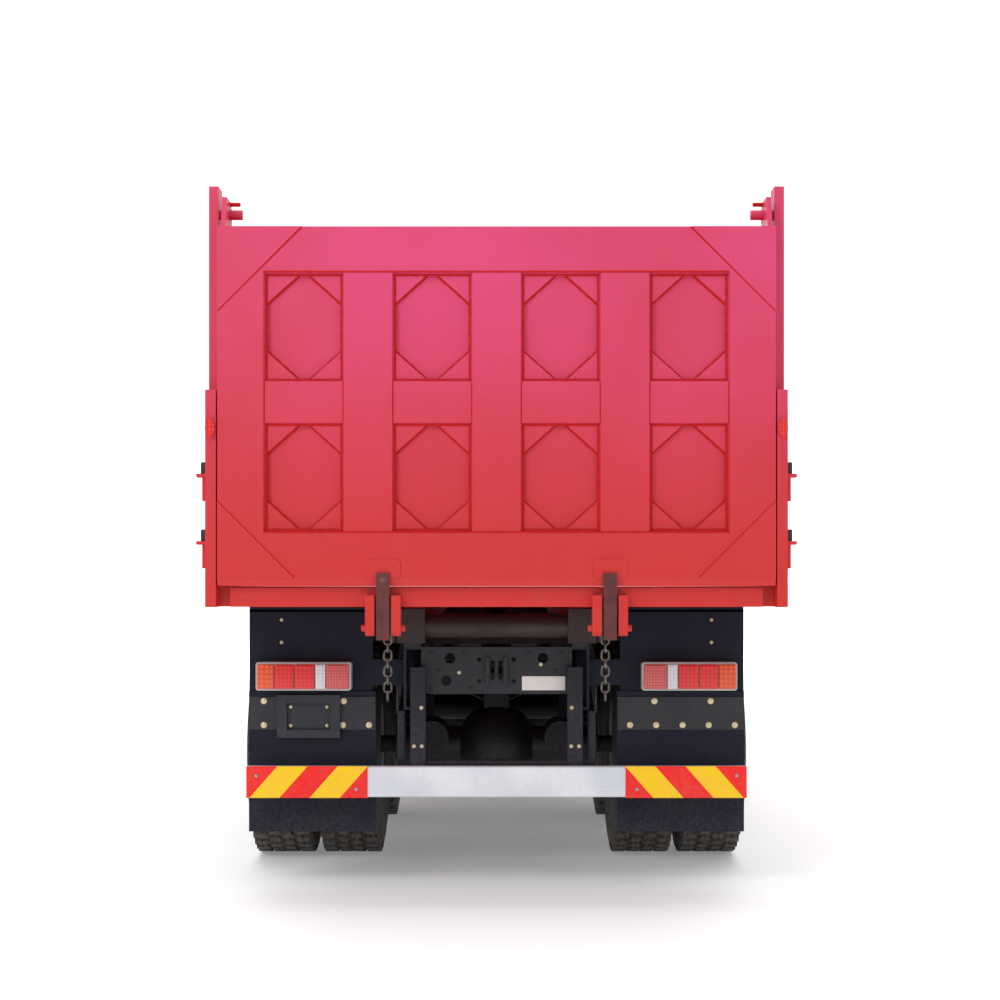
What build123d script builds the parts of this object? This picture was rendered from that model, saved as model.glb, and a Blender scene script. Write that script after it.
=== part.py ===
"""Three-axle tipper lorry: cab over engine, steel tipping bed with a top-hinged tailgate.

Millimetres. +Y is forward, +X the lorry's right-hand side, +Z up.
The origin is on the ground, at the middle of the overall length and width.
"""
import os
from math import hypot

from build123d import *

os.makedirs("parts", exist_ok=True)

# Lengths that add up from the tailgate's lock tongues to the grille
tongue_stand = 20
gate_thick = 95
gate_gap = 6
bed_inner_length = 5600
cab_bed_gap = 639
cab_length = 2000
cab_nose = 40
overall_length = tongue_stand + gate_thick + gate_gap + bed_inner_length + cab_bed_gap + cab_length + cab_nose
y_front = overall_length / 2
y_tail = -overall_length / 2

# Places of the axles
front_overhang = 1500
rear_overhang = 1725
bogie_spread = 1350
y_steer_axle = y_front - front_overhang
y_drive_axles = {
    "mid": y_tail + rear_overhang + bogie_spread,
    "tail": y_tail + rear_overhang,
}

# Wheels
tyre_r = 560
tyre_width = 314
rim_r = 262
bead_inset = 24
shoulder_inset = 26
shoulder_drop = 70
shoulder_round = 22
steer_wheel_x = 1015
dual_outer_x = 1088
dual_spacing = 345
rim_barrel = 12
rim_lip = 20
disc_thick = 14
disc_offset = 62
hub_r = 118
hub_reach = 60
nut_count = 10
nut_circle_r = 150
nut_r = 16
nut_reach = 22
hand_hole_count = 8
hand_hole_r = 24
hand_hole_circle_r = 205
spindle_r = 45
spindle_clear = 0.5

# Ladder frame, subframe and the tail of the chassis
frame_half_width = 430
rail_flange = 80
rail_web = 12
frame_bottom = 830
frame_top = 1120
subframe_top = 1200
y_frame_end = y_tail + 620
bumper_depth = 240
y_frame_nose = y_front - bumper_depth
crossmember_half = 30
tail_plate_bottom = 904
tail_plate_thick = 12
seat_gap = 0.3

# Engine and gearbox between the rails
engine_front = y_frame_nose - 290
engine_back = engine_front - 1250
engine_gearbox_end = engine_back - 820
gearbox_r = 230
gearbox_z = frame_bottom + 150
engine_half_width = 300
mount_half = 60
mount_height = 70
mount_clear = 8

# Tipping bed and tailgate
bed_half_inner = 1150
bed_half_width = 1250
floor_top = 1405
floor_plate = 10
sill_bottom = 1319
bed_wall_height = 1548
bed_wall_top = floor_top + bed_wall_height
wall_plate = 10
post_rise = 193
post_top = bed_wall_top + post_rise
post_width = 42
post_depth = 110
gate_half_width = 1198
gate_recess = 45
tongue_depth = 60
y_gate_back = y_tail + tongue_stand
y_gate_front = y_gate_back + gate_thick
y_bed_tail = y_gate_front + gate_gap
y_headboard = y_bed_tail + bed_inner_length
gate_bottom = floor_top + gate_gap
gate_axis_y = y_bed_tail + 50
gate_axis_z = bed_wall_top + 77
gate_pin_r = 22
pivot_y = y_tail + 550
pivot_z = 1222
shaft_r = 55
shaft_clear = 0.5

# Hoist under the bed: base pin on the frame, rod eye under the floor
hoist_base = (pivot_y + 1300, pivot_z - 200)
hoist_eye = (pivot_y + 2690, pivot_z + 30)
hoist_pin_r = 30
hoist_barrel_r = 80
hoist_rod_r = 58

# Cab
cab_half_width = 1225
cab_front_y = y_front - cab_nose
cab_back_y = cab_front_y - cab_length
cab_floor_z = 1215
guard_depth = 46
guard_clear = 110
cab_roof_z = post_top - guard_depth - guard_clear
cab_wall = 50
cab_corner_r = 130
glass_inset = 18
glass_thick = 8
door_gap = 6
door_back_y = cab_back_y + 760
door_front_y = cab_front_y - 300
door_bottom_z = cab_floor_z + 70
door_top_z = cab_roof_z - 210


def save(block, name):
    """Labels a finished sub-part and writes its STEP file."""
    block.part.label = name
    export_step(block.part, f"parts/{name}.step")


def slab(x, y, z, mode=Mode.ADD):
    """A block between two limits on each axis, in the part being built."""
    sizes = [abs(high - low) for low, high in (x, y, z)]
    middle = tuple((low + high) / 2 for low, high in (x, y, z))
    with Locations(middle):
        Box(*sizes, mode=mode)


def rod(radius, start, length, axis="X", mode=Mode.ADD):
    """A round bar from a point, along one axis, in the part being built."""
    turn = {"X": (0, 90, 0), "Y": (-90, 0, 0), "Z": (0, 0, 0)}[axis]
    ends = (Align.CENTER, Align.CENTER, Align.MIN)
    with Locations(Location(start, turn)):
        Cylinder(radius, length, align=ends, mode=mode)


SIDES = {"left": -1, "right": 1}


# Wheels
def tyre_part(x, y):
    """One tyre: its section, width along X and radius along Y, turned about the axle."""
    half = tyre_width / 2
    section = [
        (-half + bead_inset, rim_r),
        (-half, rim_r + shoulder_drop),
        (-half, tyre_r - shoulder_drop),
        (-half + shoulder_inset, tyre_r),
        (half - shoulder_inset, tyre_r),
        (half, tyre_r - shoulder_drop),
        (half, rim_r + shoulder_drop),
        (half - bead_inset, rim_r),
    ]
    with BuildPart() as tyre:
        with BuildSketch(Plane(origin=(x, y, tyre_r))) as outline:
            with BuildLine():
                Polyline(*section, close=True)
            make_face()
            fillet(outline.vertices().sort_by(Axis.Y)[-4:], shoulder_round)
        revolve(axis=Axis((x, y, tyre_r), (1, 0, 0)))
    return tyre.part


def rim_part(x, y, outward, bore_r):
    """One disc wheel: rim barrel with lips, dished disc with hand holes, hub and nuts."""
    half = tyre_width / 2 - bead_inset
    inner_r = rim_r - seat_gap - rim_barrel
    disc = outward * disc_offset
    section = [
        (-half, inner_r - rim_lip),
        (-half, rim_r - seat_gap),
        (half, rim_r - seat_gap),
        (half, inner_r - rim_lip),
        (half - rim_barrel, inner_r - rim_lip),
        (half - rim_barrel, inner_r),
        (disc + disc_thick / 2, inner_r),
        (disc + disc_thick / 2, bore_r),
        (disc - disc_thick / 2, bore_r),
        (disc - disc_thick / 2, inner_r),
        (-half + rim_barrel, inner_r),
        (-half + rim_barrel, inner_r - rim_lip),
    ]
    face = Plane(origin=(x + disc, y, tyre_r), x_dir=(0, 1, 0), z_dir=(outward, 0, 0))
    with BuildPart() as rim:
        with BuildSketch(Plane(origin=(x, y, tyre_r))):
            with BuildLine():
                Polyline(*section, close=True)
            make_face()
        revolve(axis=Axis((x, y, tyre_r), (1, 0, 0)))
        with BuildSketch(face):
            with PolarLocations(hand_hole_circle_r, hand_hole_count):
                Circle(hand_hole_r)
        extrude(amount=disc_thick, both=True, mode=Mode.SUBTRACT)
        with BuildSketch(face):
            with PolarLocations(nut_circle_r, nut_count):
                RegularPolygon(nut_r, 6)
        extrude(amount=disc_thick / 2 + nut_reach)
        with BuildSketch(face):
            Circle(hub_r)
            Circle(bore_r, mode=Mode.SUBTRACT)
        extrude(amount=hub_reach)
    return rim.part


for side, sign in SIDES.items():
    steer_x = sign * steer_wheel_x
    with BuildPart() as steer_tyre:
        add(tyre_part(steer_x, y_steer_axle))
    save(steer_tyre, f"steer_tyre_{side}")
    with BuildPart() as steer_rim:
        add(rim_part(steer_x, y_steer_axle, sign, spindle_r + spindle_clear))
    save(steer_rim, f"steer_rim_{side}")
    for place, y_axle in y_drive_axles.items():
        twin_x = (sign * dual_outer_x, sign * (dual_outer_x - dual_spacing))
        with BuildPart() as twin_tyres:
            for x in twin_x:
                add(tyre_part(x, y_axle))
        save(twin_tyres, f"{place}_tyres_{side}")
        with BuildPart() as twin_rims:
            add(rim_part(twin_x[0], y_axle, -sign, spindle_r + spindle_clear))
            add(rim_part(twin_x[1], y_axle, sign, spindle_r + spindle_clear))
            hub_length = dual_spacing - 2 * disc_offset
            rod(hub_r, (min(twin_x) + disc_offset, y_axle, tyre_r), hub_length)
            bore_start = (min(twin_x) - tyre_width, y_axle, tyre_r)
            rod(spindle_r + spindle_clear, bore_start, 3 * tyre_width, mode=Mode.SUBTRACT)
        save(twin_rims, f"{place}_rims_{side}")

# Axles, kingpins and steering knuckles
kingpin_x = 870
kingpin_r = 24
kingpin_half = 110
beam_z = tyre_r - 60
knuckle_half = 45
fork_gap = 6
spindle_end_x = steer_wheel_x + disc_offset + hub_reach
housing_r = 95
diff_r = 210
nose_reach = diff_r + 130
drive_spindle_x = dual_outer_x + 60
chamber_r = 85
chamber_length = 190
chamber_x = 330
chamber_rise = 60
stay_r = 28
stay_head = 65
stay_reach = 450
bogie_y = sum(y_drive_axles.values()) / 2
rail_outer = frame_half_width
rail_inner = frame_half_width - rail_flange

with BuildPart() as steer_beam:
    beam_end = kingpin_x - knuckle_half - fork_gap
    slab((-beam_end, beam_end), (y_steer_axle - 40, y_steer_axle + 40), (beam_z - 70, beam_z + 50))
    for web_y in (y_steer_axle - 40, y_steer_axle + 40):
        web = (web_y - 25, web_y + 25)
        slab((-beam_end + 60, beam_end - 60), web, (beam_z - 45, beam_z + 25), Mode.SUBTRACT)
    for sign in SIDES.values():
        arm = sorted((sign * beam_end, sign * (kingpin_x + knuckle_half)))
        for low, high in ((-kingpin_half, -55), (55, kingpin_half)):
            slab(arm, (y_steer_axle - 40, y_steer_axle + 40), (tyre_r + low, tyre_r + high))
        web = sorted((sign * (beam_end - 40), sign * beam_end))
        slab(web, (y_steer_axle - 40, y_steer_axle + 40), (beam_z - 70, tyre_r + kingpin_half))
        pin_bottom = (sign * kingpin_x, y_steer_axle, tyre_r - kingpin_half)
        rod(kingpin_r, pin_bottom, 2 * kingpin_half, "Z")
save(steer_beam, "steer_axle")

for side, sign in SIDES.items():
    with BuildPart() as knuckle:
        swivel = (sign * kingpin_x, y_steer_axle, tyre_r - 55 + fork_gap)
        rod(knuckle_half - fork_gap, swivel, 2 * (55 - fork_gap), "Z")
        spindle_from = min(sign * kingpin_x, sign * spindle_end_x)
        rod(spindle_r, (spindle_from, y_steer_axle, tyre_r), spindle_end_x - kingpin_x)
        rod(kingpin_r + spindle_clear, swivel, 2 * kingpin_half, "Z", Mode.SUBTRACT)
    save(knuckle, f"knuckle_{side}")

with BuildPart() as drive_axles:
    for y_axle in y_drive_axles.values():
        inner_face = dual_outer_x - dual_spacing - tyre_width / 2
        tube_half = inner_face - 60
        rod(housing_r, (-tube_half, y_axle, tyre_r), 2 * tube_half)
        rod(spindle_r, (-drive_spindle_x, y_axle, tyre_r), 2 * drive_spindle_x)
        with Locations((0, y_axle, tyre_r)):
            Sphere(diff_r)
        rod(diff_r * 0.6, (0, y_axle, tyre_r), nose_reach, "Y")
        for sign in SIDES.values():
            chamber_end = y_axle - housing_r - chamber_length
            chamber_base = (sign * chamber_x, chamber_end, tyre_r + chamber_rise)
            rod(chamber_r, chamber_base, chamber_length + housing_r, "Y")
        stay_base = (0, y_axle, tyre_r + diff_r)
        head_y = (y_axle - stay_head, y_axle + stay_head)
        slab((-stay_head, stay_head), head_y, (stay_base[2] - 25, stay_base[2] + 60))
        stay_turn = 1 if y_axle < bogie_y else -1
        foot_y = y_axle + stay_turn * stay_reach
        for sign in SIDES.values():
            foot = (sign * (rail_inner - 10), foot_y, frame_bottom + 70)
            run = (foot[0], foot_y - y_axle, foot[2] - stay_base[2] - 20)
            with BuildSketch(Plane(origin=(0, y_axle, stay_base[2] + 20), z_dir=run)):
                Circle(stay_r)
            extrude(amount=hypot(*run))
            pad = sorted((sign * (rail_inner - 30), sign * (frame_half_width - rail_web - seat_gap)))
            slab(pad, (foot_y - 45, foot_y + 45), (foot[2] - 45, foot[2] + 45))
save(drive_axles, "drive_axles")

# Leaf springs: stacked arched leaves under the rails, one stack per side and axle group
leaf_width = 80
leaf_thick = 22
leaf_sag = 46
spring_x = frame_half_width - leaf_width / 2
drive_spring_x = frame_half_width + leaf_width / 2 + 12
leaf_reference = 700
spring_hanger_half = 45
spring_hanger_drop = 30
drive_spring_seat = tyre_r + housing_r + leaf_sag * (bogie_spread / 2 / leaf_reference) ** 2 + 1
# x, mid y, half length, seat height, number of leaves, bow (1 hangs down, -1 arches up)
SPRING_STACKS = [
    (spring_x, y_steer_axle, 780, beam_z + 50, 4, 1),
    (drive_spring_x, bogie_y, 680, drive_spring_seat, 6, -1),
]


def leaf_part(x, y, half_length, z, bow):
    """One leaf: an arched strip of constant thickness."""
    with BuildPart() as leaf:
        with BuildSketch(Plane.YZ.offset(x - leaf_width / 2)):
            with BuildLine():
                ends = z + bow * leaf_sag * (half_length / leaf_reference) ** 2
                top = ThreePointArc(
                    (y - half_length, ends + leaf_thick),
                    (y, z + leaf_thick),
                    (y + half_length, ends + leaf_thick),
                )
                Line(top @ 1, (y + half_length, ends))
                bottom = ThreePointArc((y + half_length, ends), (y, z), (y - half_length, ends))
                Line(bottom @ 1, top @ 0)
            make_face()
        extrude(amount=leaf_width)
    return leaf.part


with BuildPart() as springs:
    for x, y, half_length, seat, leaves, bow in SPRING_STACKS:
        for index in range(leaves):
            shortening = (leaves - 1 - index) if bow > 0 else index
            reach = half_length * (1 - 0.13 * shortening)
            for sign in SIDES.values():
                add(leaf_part(sign * x, y, reach, seat + index * leaf_thick, bow))
        clamp_top = seat + leaves * leaf_thick + leaf_thick
        for sign in SIDES.values():
            across = (sign * x - leaf_width / 2, sign * x + leaf_width / 2)
            slab(across, (y - 70, y + 70), (seat, clamp_top))
    saddle_top = SPRING_STACKS[1][3] + 7 * leaf_thick
    for sign in SIDES.values():
        trunnion = sorted((sign * frame_half_width, sign * (drive_spring_x + leaf_width / 2)))
        slab(trunnion, (bogie_y - 110, bogie_y + 110), (saddle_top, frame_bottom + 120))
    front_x, front_y, front_half, front_seat, front_leaves, _ = SPRING_STACKS[0]
    eye_z = front_seat + front_leaves * leaf_thick + leaf_sag * (front_half / leaf_reference) ** 2
    for sign in SIDES.values():
        across = (sign * front_x - leaf_width / 2, sign * front_x + leaf_width / 2)
        for end in (front_y - front_half, front_y + front_half):
            along = (end - spring_hanger_half, end + spring_hanger_half)
            slab(across, along, (eye_z - leaf_thick - spring_hanger_drop, frame_bottom))
save(springs, "leaf_springs")

# Ladder frame: two channel rails with cross members
# Place along the frame, then the cross member's lower and upper edges
CROSSMEMBERS = [
    (y_frame_nose - 60, frame_bottom + 40, frame_top - 150),
    (engine_gearbox_end - 150, frame_top - 80, frame_top - 10),
    (y_drive_axles["mid"] + 2025, frame_top - 120, frame_top - 20),
    (y_drive_axles["mid"] + 825, frame_bottom + 40, frame_top - 150),
    (bogie_y, frame_bottom + 40, frame_top - 150),
    (y_frame_end + 500, frame_bottom + 40, frame_top - 150),
]
trunnion_r = 68
trunnion_z = 700
with BuildPart() as frame:
    channel = [
        (rail_inner, frame_bottom),
        (rail_outer, frame_bottom),
        (rail_outer, frame_top),
        (rail_inner, frame_top),
        (rail_inner, frame_top - rail_web),
        (rail_outer - rail_web, frame_top - rail_web),
        (rail_outer - rail_web, frame_bottom + rail_web),
        (rail_inner, frame_bottom + rail_web),
    ]
    with BuildSketch(Plane.XZ.offset(-y_frame_nose)):
        with BuildLine():
            Polyline(*channel, close=True)
        make_face()
        mirror(about=Plane.YZ)
    extrude(amount=y_frame_nose - y_frame_end)
    web_inner = frame_half_width - rail_web
    for y, low, high in CROSSMEMBERS:
        slab((-web_inner, web_inner), (y - crossmember_half, y + crossmember_half), (low, high))
    rod(hoist_pin_r, (-web_inner - 1, hoist_base[0], hoist_base[1]), 2 * web_inner + 2)
    for sign in SIDES.values():
        bracket = sorted((sign * rail_inner, sign * rail_outer))
        bracket_y = (bogie_y - trunnion_r, bogie_y + trunnion_r)
        slab(bracket, bracket_y, (trunnion_z - trunnion_r, frame_bottom + 1))
    rod(trunnion_r, (-rail_outer, bogie_y, trunnion_z), 2 * rail_outer)
save(frame, "ladder_frame")

# Tail plate that closes the frame: round lightening holes and a slotted tow eye pocket
tail_hole_r = 24
tail_hole_pairs = [(-215, 56), (215, 56), (-232, -48), (232, -48)]
coupling_hole_r = 10.5
coupling_spacing = (160, 100)
jaw_x = (34, 50)
with BuildPart() as tail_plate:
    middle_z = (tail_plate_bottom + frame_top) / 2
    tail_face = Plane.XZ.offset(-y_frame_end)
    tail_half = rail_inner - seat_gap
    with BuildSketch(tail_face):
        with Locations((0, middle_z)):
            Rectangle(2 * tail_half, frame_top - tail_plate_bottom)
            with Locations(*tail_hole_pairs):
                Circle(tail_hole_r, mode=Mode.SUBTRACT)
            with Locations((-18, 0), (18, 0)):
                SlotOverall(90, 20, rotation=90, mode=Mode.SUBTRACT)
            with GridLocations(*coupling_spacing, 2, 2):
                Circle(coupling_hole_r, mode=Mode.SUBTRACT)
    extrude(amount=-tail_plate_thick)
    tow_z = (middle_z - 62, middle_z + 62)
    for sign in SIDES.values():
        jaw = sorted((sign * jaw_x[0], sign * jaw_x[1]))
        slab(jaw, (y_frame_end - 30, y_frame_end), tow_z)
save(tail_plate, "tail_crossmember")

# Subframe on the rails, with the two bearing blocks of the tipping shaft at its tail
bearing_half = 64
bearing_x = frame_half_width - rail_flange / 2
bearing_half_height = 78
subframe_front = y_headboard - 260
with BuildPart() as subframe:
    for sign in SIDES.values():
        rail = sorted((sign * rail_inner, sign * rail_outer))
        slab(rail, (y_frame_end, subframe_front), (frame_top, subframe_top))
        block_y = (pivot_y - bearing_half_height, y_frame_end)
        block_x = sorted((sign * (bearing_x - bearing_half), sign * (bearing_x + bearing_half)))
        slab(block_x, block_y, (pivot_z - bearing_half_height, pivot_z + bearing_half_height))
    for y in (subframe_front - 80, bogie_y + 2400, bogie_y + 1200, y_frame_end + 260):
        slab((-rail_inner, rail_inner), (y - 40, y + 40), (frame_top + 5, subframe_top - 8))
    bore_from = (-bearing_x - 2 * bearing_half, pivot_y, pivot_z)
    rod(shaft_r + shaft_clear, bore_from, 2 * bearing_x + 4 * bearing_half, mode=Mode.SUBTRACT)
save(subframe, "subframe")

# Engine, gearbox and the two propeller shafts
with BuildPart() as engine:
    engine_z = (frame_bottom - 60, cab_floor_z - 30)
    slab((-engine_half_width, engine_half_width), (engine_back, engine_front), engine_z)
    rod(gearbox_r, (0, engine_gearbox_end, gearbox_z), engine_back - engine_gearbox_end + 1, "Y")
    mount_seat_z = frame_bottom + rail_web
    for y in (engine_front - 260, engine_back + 220):
        for sign in SIDES.values():
            bracket = sorted((sign * (engine_half_width - 1), sign * (web_inner - mount_clear)))
            slab(bracket, (y - mount_half, y + mount_half), (mount_seat_z, mount_seat_z + mount_height))
save(engine, "engine_block")

shaft_tube_r = 55
yoke_r = 85
yoke_length = 70
yoke_reach = 35
mid_nose_y = y_drive_axles["mid"] + nose_reach
tail_nose_y = y_drive_axles["tail"] + nose_reach
with BuildPart() as propshafts:
    rod(yoke_r, (0, mid_nose_y, tyre_r), yoke_length, "Y")
    rod(yoke_r, (0, engine_gearbox_end - yoke_length, gearbox_z), yoke_length, "Y")
    run_y = engine_gearbox_end - mid_nose_y - 2 * yoke_reach
    run_z = gearbox_z - tyre_r
    drive_plane = Plane(origin=(0, mid_nose_y + yoke_reach, tyre_r), z_dir=(0, run_y, run_z))
    with BuildSketch(drive_plane):
        Circle(shaft_tube_r)
    extrude(amount=hypot(run_y, run_z))
    link_length = y_drive_axles["mid"] - diff_r - seat_gap - tail_nose_y
    rod(shaft_tube_r, (0, tail_nose_y, tyre_r), link_length, "Y")
save(propshafts, "propeller_shafts")

# Fuel tank, battery box and air tanks on the outside of the rails
tank_r = 60
tank_y = (y_drive_axles["mid"] + 1065, y_steer_axle - 1350)
with BuildPart() as tanks:
    with BuildSketch(Plane.XZ.offset(-tank_y[0])):
        with Locations((frame_half_width + 350, 860)):
            RectangleRounded(640, 560, tank_r)
    extrude(amount=-(tank_y[1] - tank_y[0]))
    slab((-1000, -frame_half_width - 20), (tank_y[1] - 790, tank_y[1]), (640, 1100))
    for z in (720, 1000):
        rod(120, (-frame_half_width - 160, tank_y[0] - 180, z), 720, "Y")
    slab((-frame_half_width - 60, -frame_half_width), (tank_y[0] - 140, tank_y[0] + 500), (700, 1060))
    for y in (tank_y[0] + 160, tank_y[1] - 250):
        slab((frame_half_width, frame_half_width + 40), (y - 40, y + 40), (frame_bottom, frame_top))
    box_bracket_y = (tank_y[1] - 650, tank_y[1] - 150)
    slab((-frame_half_width - 21, -frame_half_width), box_bracket_y, (frame_bottom, frame_top - 60))
save(tanks, "tanks_and_boxes")

# Front mudguards: flat over the steered wheels, sloping down behind them
guard_sheet = 8
guard_top_z = 2 * tyre_r + 30
guard_x = (830, 1215)
guard_front_y = y_steer_axle + 480
guard_bend_y = y_steer_axle - 420
swing_r = hypot(tyre_r, steer_wheel_x - kingpin_x + tyre_width / 2)
guard_rear_y = y_steer_axle - swing_r - 20
guard_bend_z = guard_top_z - (guard_bend_y - guard_rear_y)
guard_low_z = 640
with BuildPart() as front_guards:
    with BuildSketch(Plane.YZ.offset(guard_x[0])):
        with BuildLine():
            Polyline(
                (guard_front_y, guard_top_z),
                (guard_bend_y, guard_top_z),
                (guard_rear_y, guard_bend_z),
                (guard_rear_y, guard_low_z),
                (guard_rear_y - guard_sheet, guard_low_z),
                (guard_rear_y - guard_sheet, guard_bend_z + guard_sheet / 2),
                (guard_bend_y - guard_sheet / 2, guard_top_z + guard_sheet),
                (guard_front_y, guard_top_z + guard_sheet),
                close=True,
            )
        make_face()
    extrude(amount=guard_x[1] - guard_x[0])
    stay_y = (guard_rear_y - guard_sheet - 50, guard_rear_y - guard_sheet)
    slab((rail_outer, guard_x[1] - 200), stay_y, (guard_bend_z - 80, guard_bend_z - 30))
    mirror(about=Plane.YZ)
save(front_guards, "front_mudguards")

# Rear underrun rail with its two board faces, carried by hangers from the frame
underrun_half = 1141
underrun_bottom = 440
underrun_top = 580
underrun_y = (y_tail + 500, y_tail + 552)
board_inner_x = 588
board_thick = 6
hanger_x = 361
hanger_half = 35
with BuildPart() as underrun:
    with BuildSketch(Plane.YZ.offset(-underrun_half)):
        with Locations(((underrun_y[0] + underrun_y[1]) / 2, (underrun_bottom + underrun_top) / 2)):
            RectangleRounded(underrun_y[1] - underrun_y[0], underrun_top - underrun_bottom, 10)
    extrude(amount=2 * underrun_half)
    for sign in SIDES.values():
        board = sorted((sign * board_inner_x, sign * underrun_half))
        board_z = (underrun_bottom - 2, underrun_top + 2)
        slab(board, (underrun_y[0] - board_thick, underrun_y[0] + 5), board_z)
save(underrun, "underrun_rail")

with BuildPart() as hangers:
    hanger_depth = (underrun_y[1], y_frame_end - 16)
    for sign in SIDES.values():
        hanger = (sign * hanger_x - hanger_half, sign * hanger_x + hanger_half)
        slab(hanger, hanger_depth, (underrun_bottom + 15, frame_bottom + 200))
        slab(hanger, (underrun_y[1], y_frame_end), (frame_bottom + 30, frame_bottom + 200))
        outer = sorted((sign * (hanger_x + hanger_half + 30), sign * (hanger_x + hanger_half + 62)))
        slab(outer, (y_frame_end - 20, y_frame_end + 120), (underrun_top - 40, frame_bottom - 5))
        slab(sorted((sign * hanger_x, outer[1] if sign > 0 else outer[0])),
             (y_frame_end - 20, y_frame_end - 2), (underrun_top - 60, underrun_top + 20))
save(hangers, "underrun_hangers")

# Tail lamps in housings, on arms from the frame
lamp_x = (670, 1110)
lamp_z = (921, 1051)
lamp_y = (y_tail + 580, y_tail + 660)
with BuildPart() as lamps:
    for sign in SIDES.values():
        with BuildSketch(Plane.XZ.offset(-lamp_y[0])):
            with Locations((sign * sum(lamp_x) / 2, sum(lamp_z) / 2)):
                RectangleRounded(lamp_x[1] - lamp_x[0], lamp_z[1] - lamp_z[0], 12)
        extrude(amount=-(lamp_y[1] - lamp_y[0]))
save(lamps, "tail_lamps")

# Rear mudguards: a skirt behind the wheels and a deck over them; flaps hang below the lamps
skirt_x = (575, 1150)
skirt_y = lamp_y[1] + seat_gap
skirt_thick = 8
deck_z = 1175
deck_front = y_drive_axles["mid"] + 700
flap_x = (560, 1150)
flap_z = (262, 900)
with BuildPart() as mudguards:
    for sign in SIDES.values():
        skirt = sorted((sign * skirt_x[0], sign * skirt_x[1]))
        slab(skirt, (skirt_y, skirt_y + skirt_thick), (flap_z[1] - 60, sill_bottom - 27))
        slab(skirt, (skirt_y, deck_front), (deck_z, deck_z + 6))
        arm = sorted((sign * frame_half_width, sign * lamp_x[0]))
        slab(arm, (skirt_y, skirt_y + 60), (lamp_z[0] + 20, lamp_z[1] + 10))
        for y in (deck_front - 60, bogie_y, skirt_y + 60):
            bearer = sorted((sign * frame_half_width, sign * skirt_x[1]))
            slab(bearer, (y - 20, y + 20), (deck_z - 30, deck_z))
            slab(sorted((sign * frame_half_width, sign * (frame_half_width + 20))), (y - 20, y + 20),
                 (frame_top - 80, deck_z - 29))
save(mudguards, "rear_mudguards")

with BuildPart() as flaps:
    for sign in SIDES.values():
        flap = sorted((sign * flap_x[0], sign * flap_x[1]))
        slab(flap, (skirt_y - 14, skirt_y - seat_gap), (flap_z[0], lamp_z[0] - 8))
save(flaps, "mudflaps")

plate_x = (-1017, -725)
plate_z = (699, 898)
with BuildPart() as plate_holder:
    plate_back = skirt_y - 14 - seat_gap
    slab(plate_x, (plate_back - 30, plate_back), plate_z)
    window_x = (plate_x[0] + 45, plate_x[1] - 45)
    window_z = (plate_z[0] + 38, plate_z[1] - 38)
    slab(window_x, (plate_back - 31, plate_back - 8), window_z, Mode.SUBTRACT)
save(plate_holder, "plate_holder")

# Bed floor: plate, cross bearers, two long sills, tail sill and the four lock ears
bearer_count = 11
bearer_width = 80
tongue_x = 487
tongue_half = 28
tongue_z = (1178, 1465)
ear_gap = 8
ear_thick = 40
ear_round = 30
ear_y = (y_tail + 6, y_tail + 74)
tail_sill_y = (ear_y[1] - 1, y_bed_tail + 90)
sill_bottom_z = subframe_top + seat_gap
sill_back = y_frame_end + 70
with BuildPart() as bed_floor:
    edge_x = bed_half_inner
    slab((-edge_x, edge_x), (y_bed_tail, y_headboard), (floor_top - floor_plate, floor_top))
    pitch = (bed_inner_length - 200) / (bearer_count - 1)
    for index in range(bearer_count):
        y = y_bed_tail + 150 + index * pitch
        slab((-edge_x, edge_x), (y - bearer_width / 2, y + bearer_width / 2),
             (sill_bottom, floor_top - floor_plate))
    for sign in SIDES.values():
        slab(sorted((sign * rail_inner, sign * rail_outer)), (sill_back, y_headboard - 200),
             (sill_bottom_z, floor_top - floor_plate))
    slab((-edge_x, edge_x), tail_sill_y, (sill_bottom, floor_top - 4))
    for sign in SIDES.values():
        for face in (-1, 1):
            ear_x = sign * tongue_x + face * (tongue_half + ear_gap + ear_thick / 2)
            with BuildSketch(Plane.YZ.offset(ear_x - ear_thick / 2)):
                ear_mid = (ear_y[0] + ear_y[1]) / 2
                with Locations((ear_mid, (tongue_z[0] + floor_top) / 2)):
                    Rectangle(ear_y[1] - ear_y[0], floor_top - 10 - tongue_z[0] - 2 * ear_round)
                with Locations((ear_mid, tongue_z[0] + 20 + ear_round)):
                    Circle((ear_y[1] - ear_y[0]) / 2)
            extrude(amount=ear_thick)
            bolt_from = ear_x + face * ear_thick / 2
            bolt_start = (min(bolt_from, bolt_from + face * 18), ear_mid, tongue_z[0] + 50)
            rod(14, bolt_start, 18)
save(bed_floor, "bed_floor")

# Tipping shaft, its lugs up to the tail sill and the clamp collars
lug_thick = 30
lug_x = bearing_x + bearing_half + 8 + lug_thick / 2
with BuildPart() as tipping_shaft:
    shaft_half = lug_x + lug_thick / 2 + 20
    rod(shaft_r, (-shaft_half, pivot_y, pivot_z), 2 * shaft_half)
    for sign in SIDES.values():
        with BuildSketch(Plane.YZ.offset(sign * lug_x - lug_thick / 2)):
            with Locations((pivot_y, pivot_z)):
                Circle(shaft_r + 25)
            with Locations((pivot_y, (pivot_z + sill_bottom) / 2)):
                Rectangle(2 * (shaft_r + 25), sill_bottom - pivot_z)
        extrude(amount=lug_thick)
save(tipping_shaft, "tipping_shaft")

# Lock chains: links hang in line below the ears, each turned a quarter from the last
link_long = 46
link_wide = 32
link_wire = 11
link_count = 8
link_play = 0.3
link_pitch = link_long - link_wire - link_play
chain_top_z = tongue_z[0] + 10
chain_y = y_tail + 130
chain_x = tongue_x - 14


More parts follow.
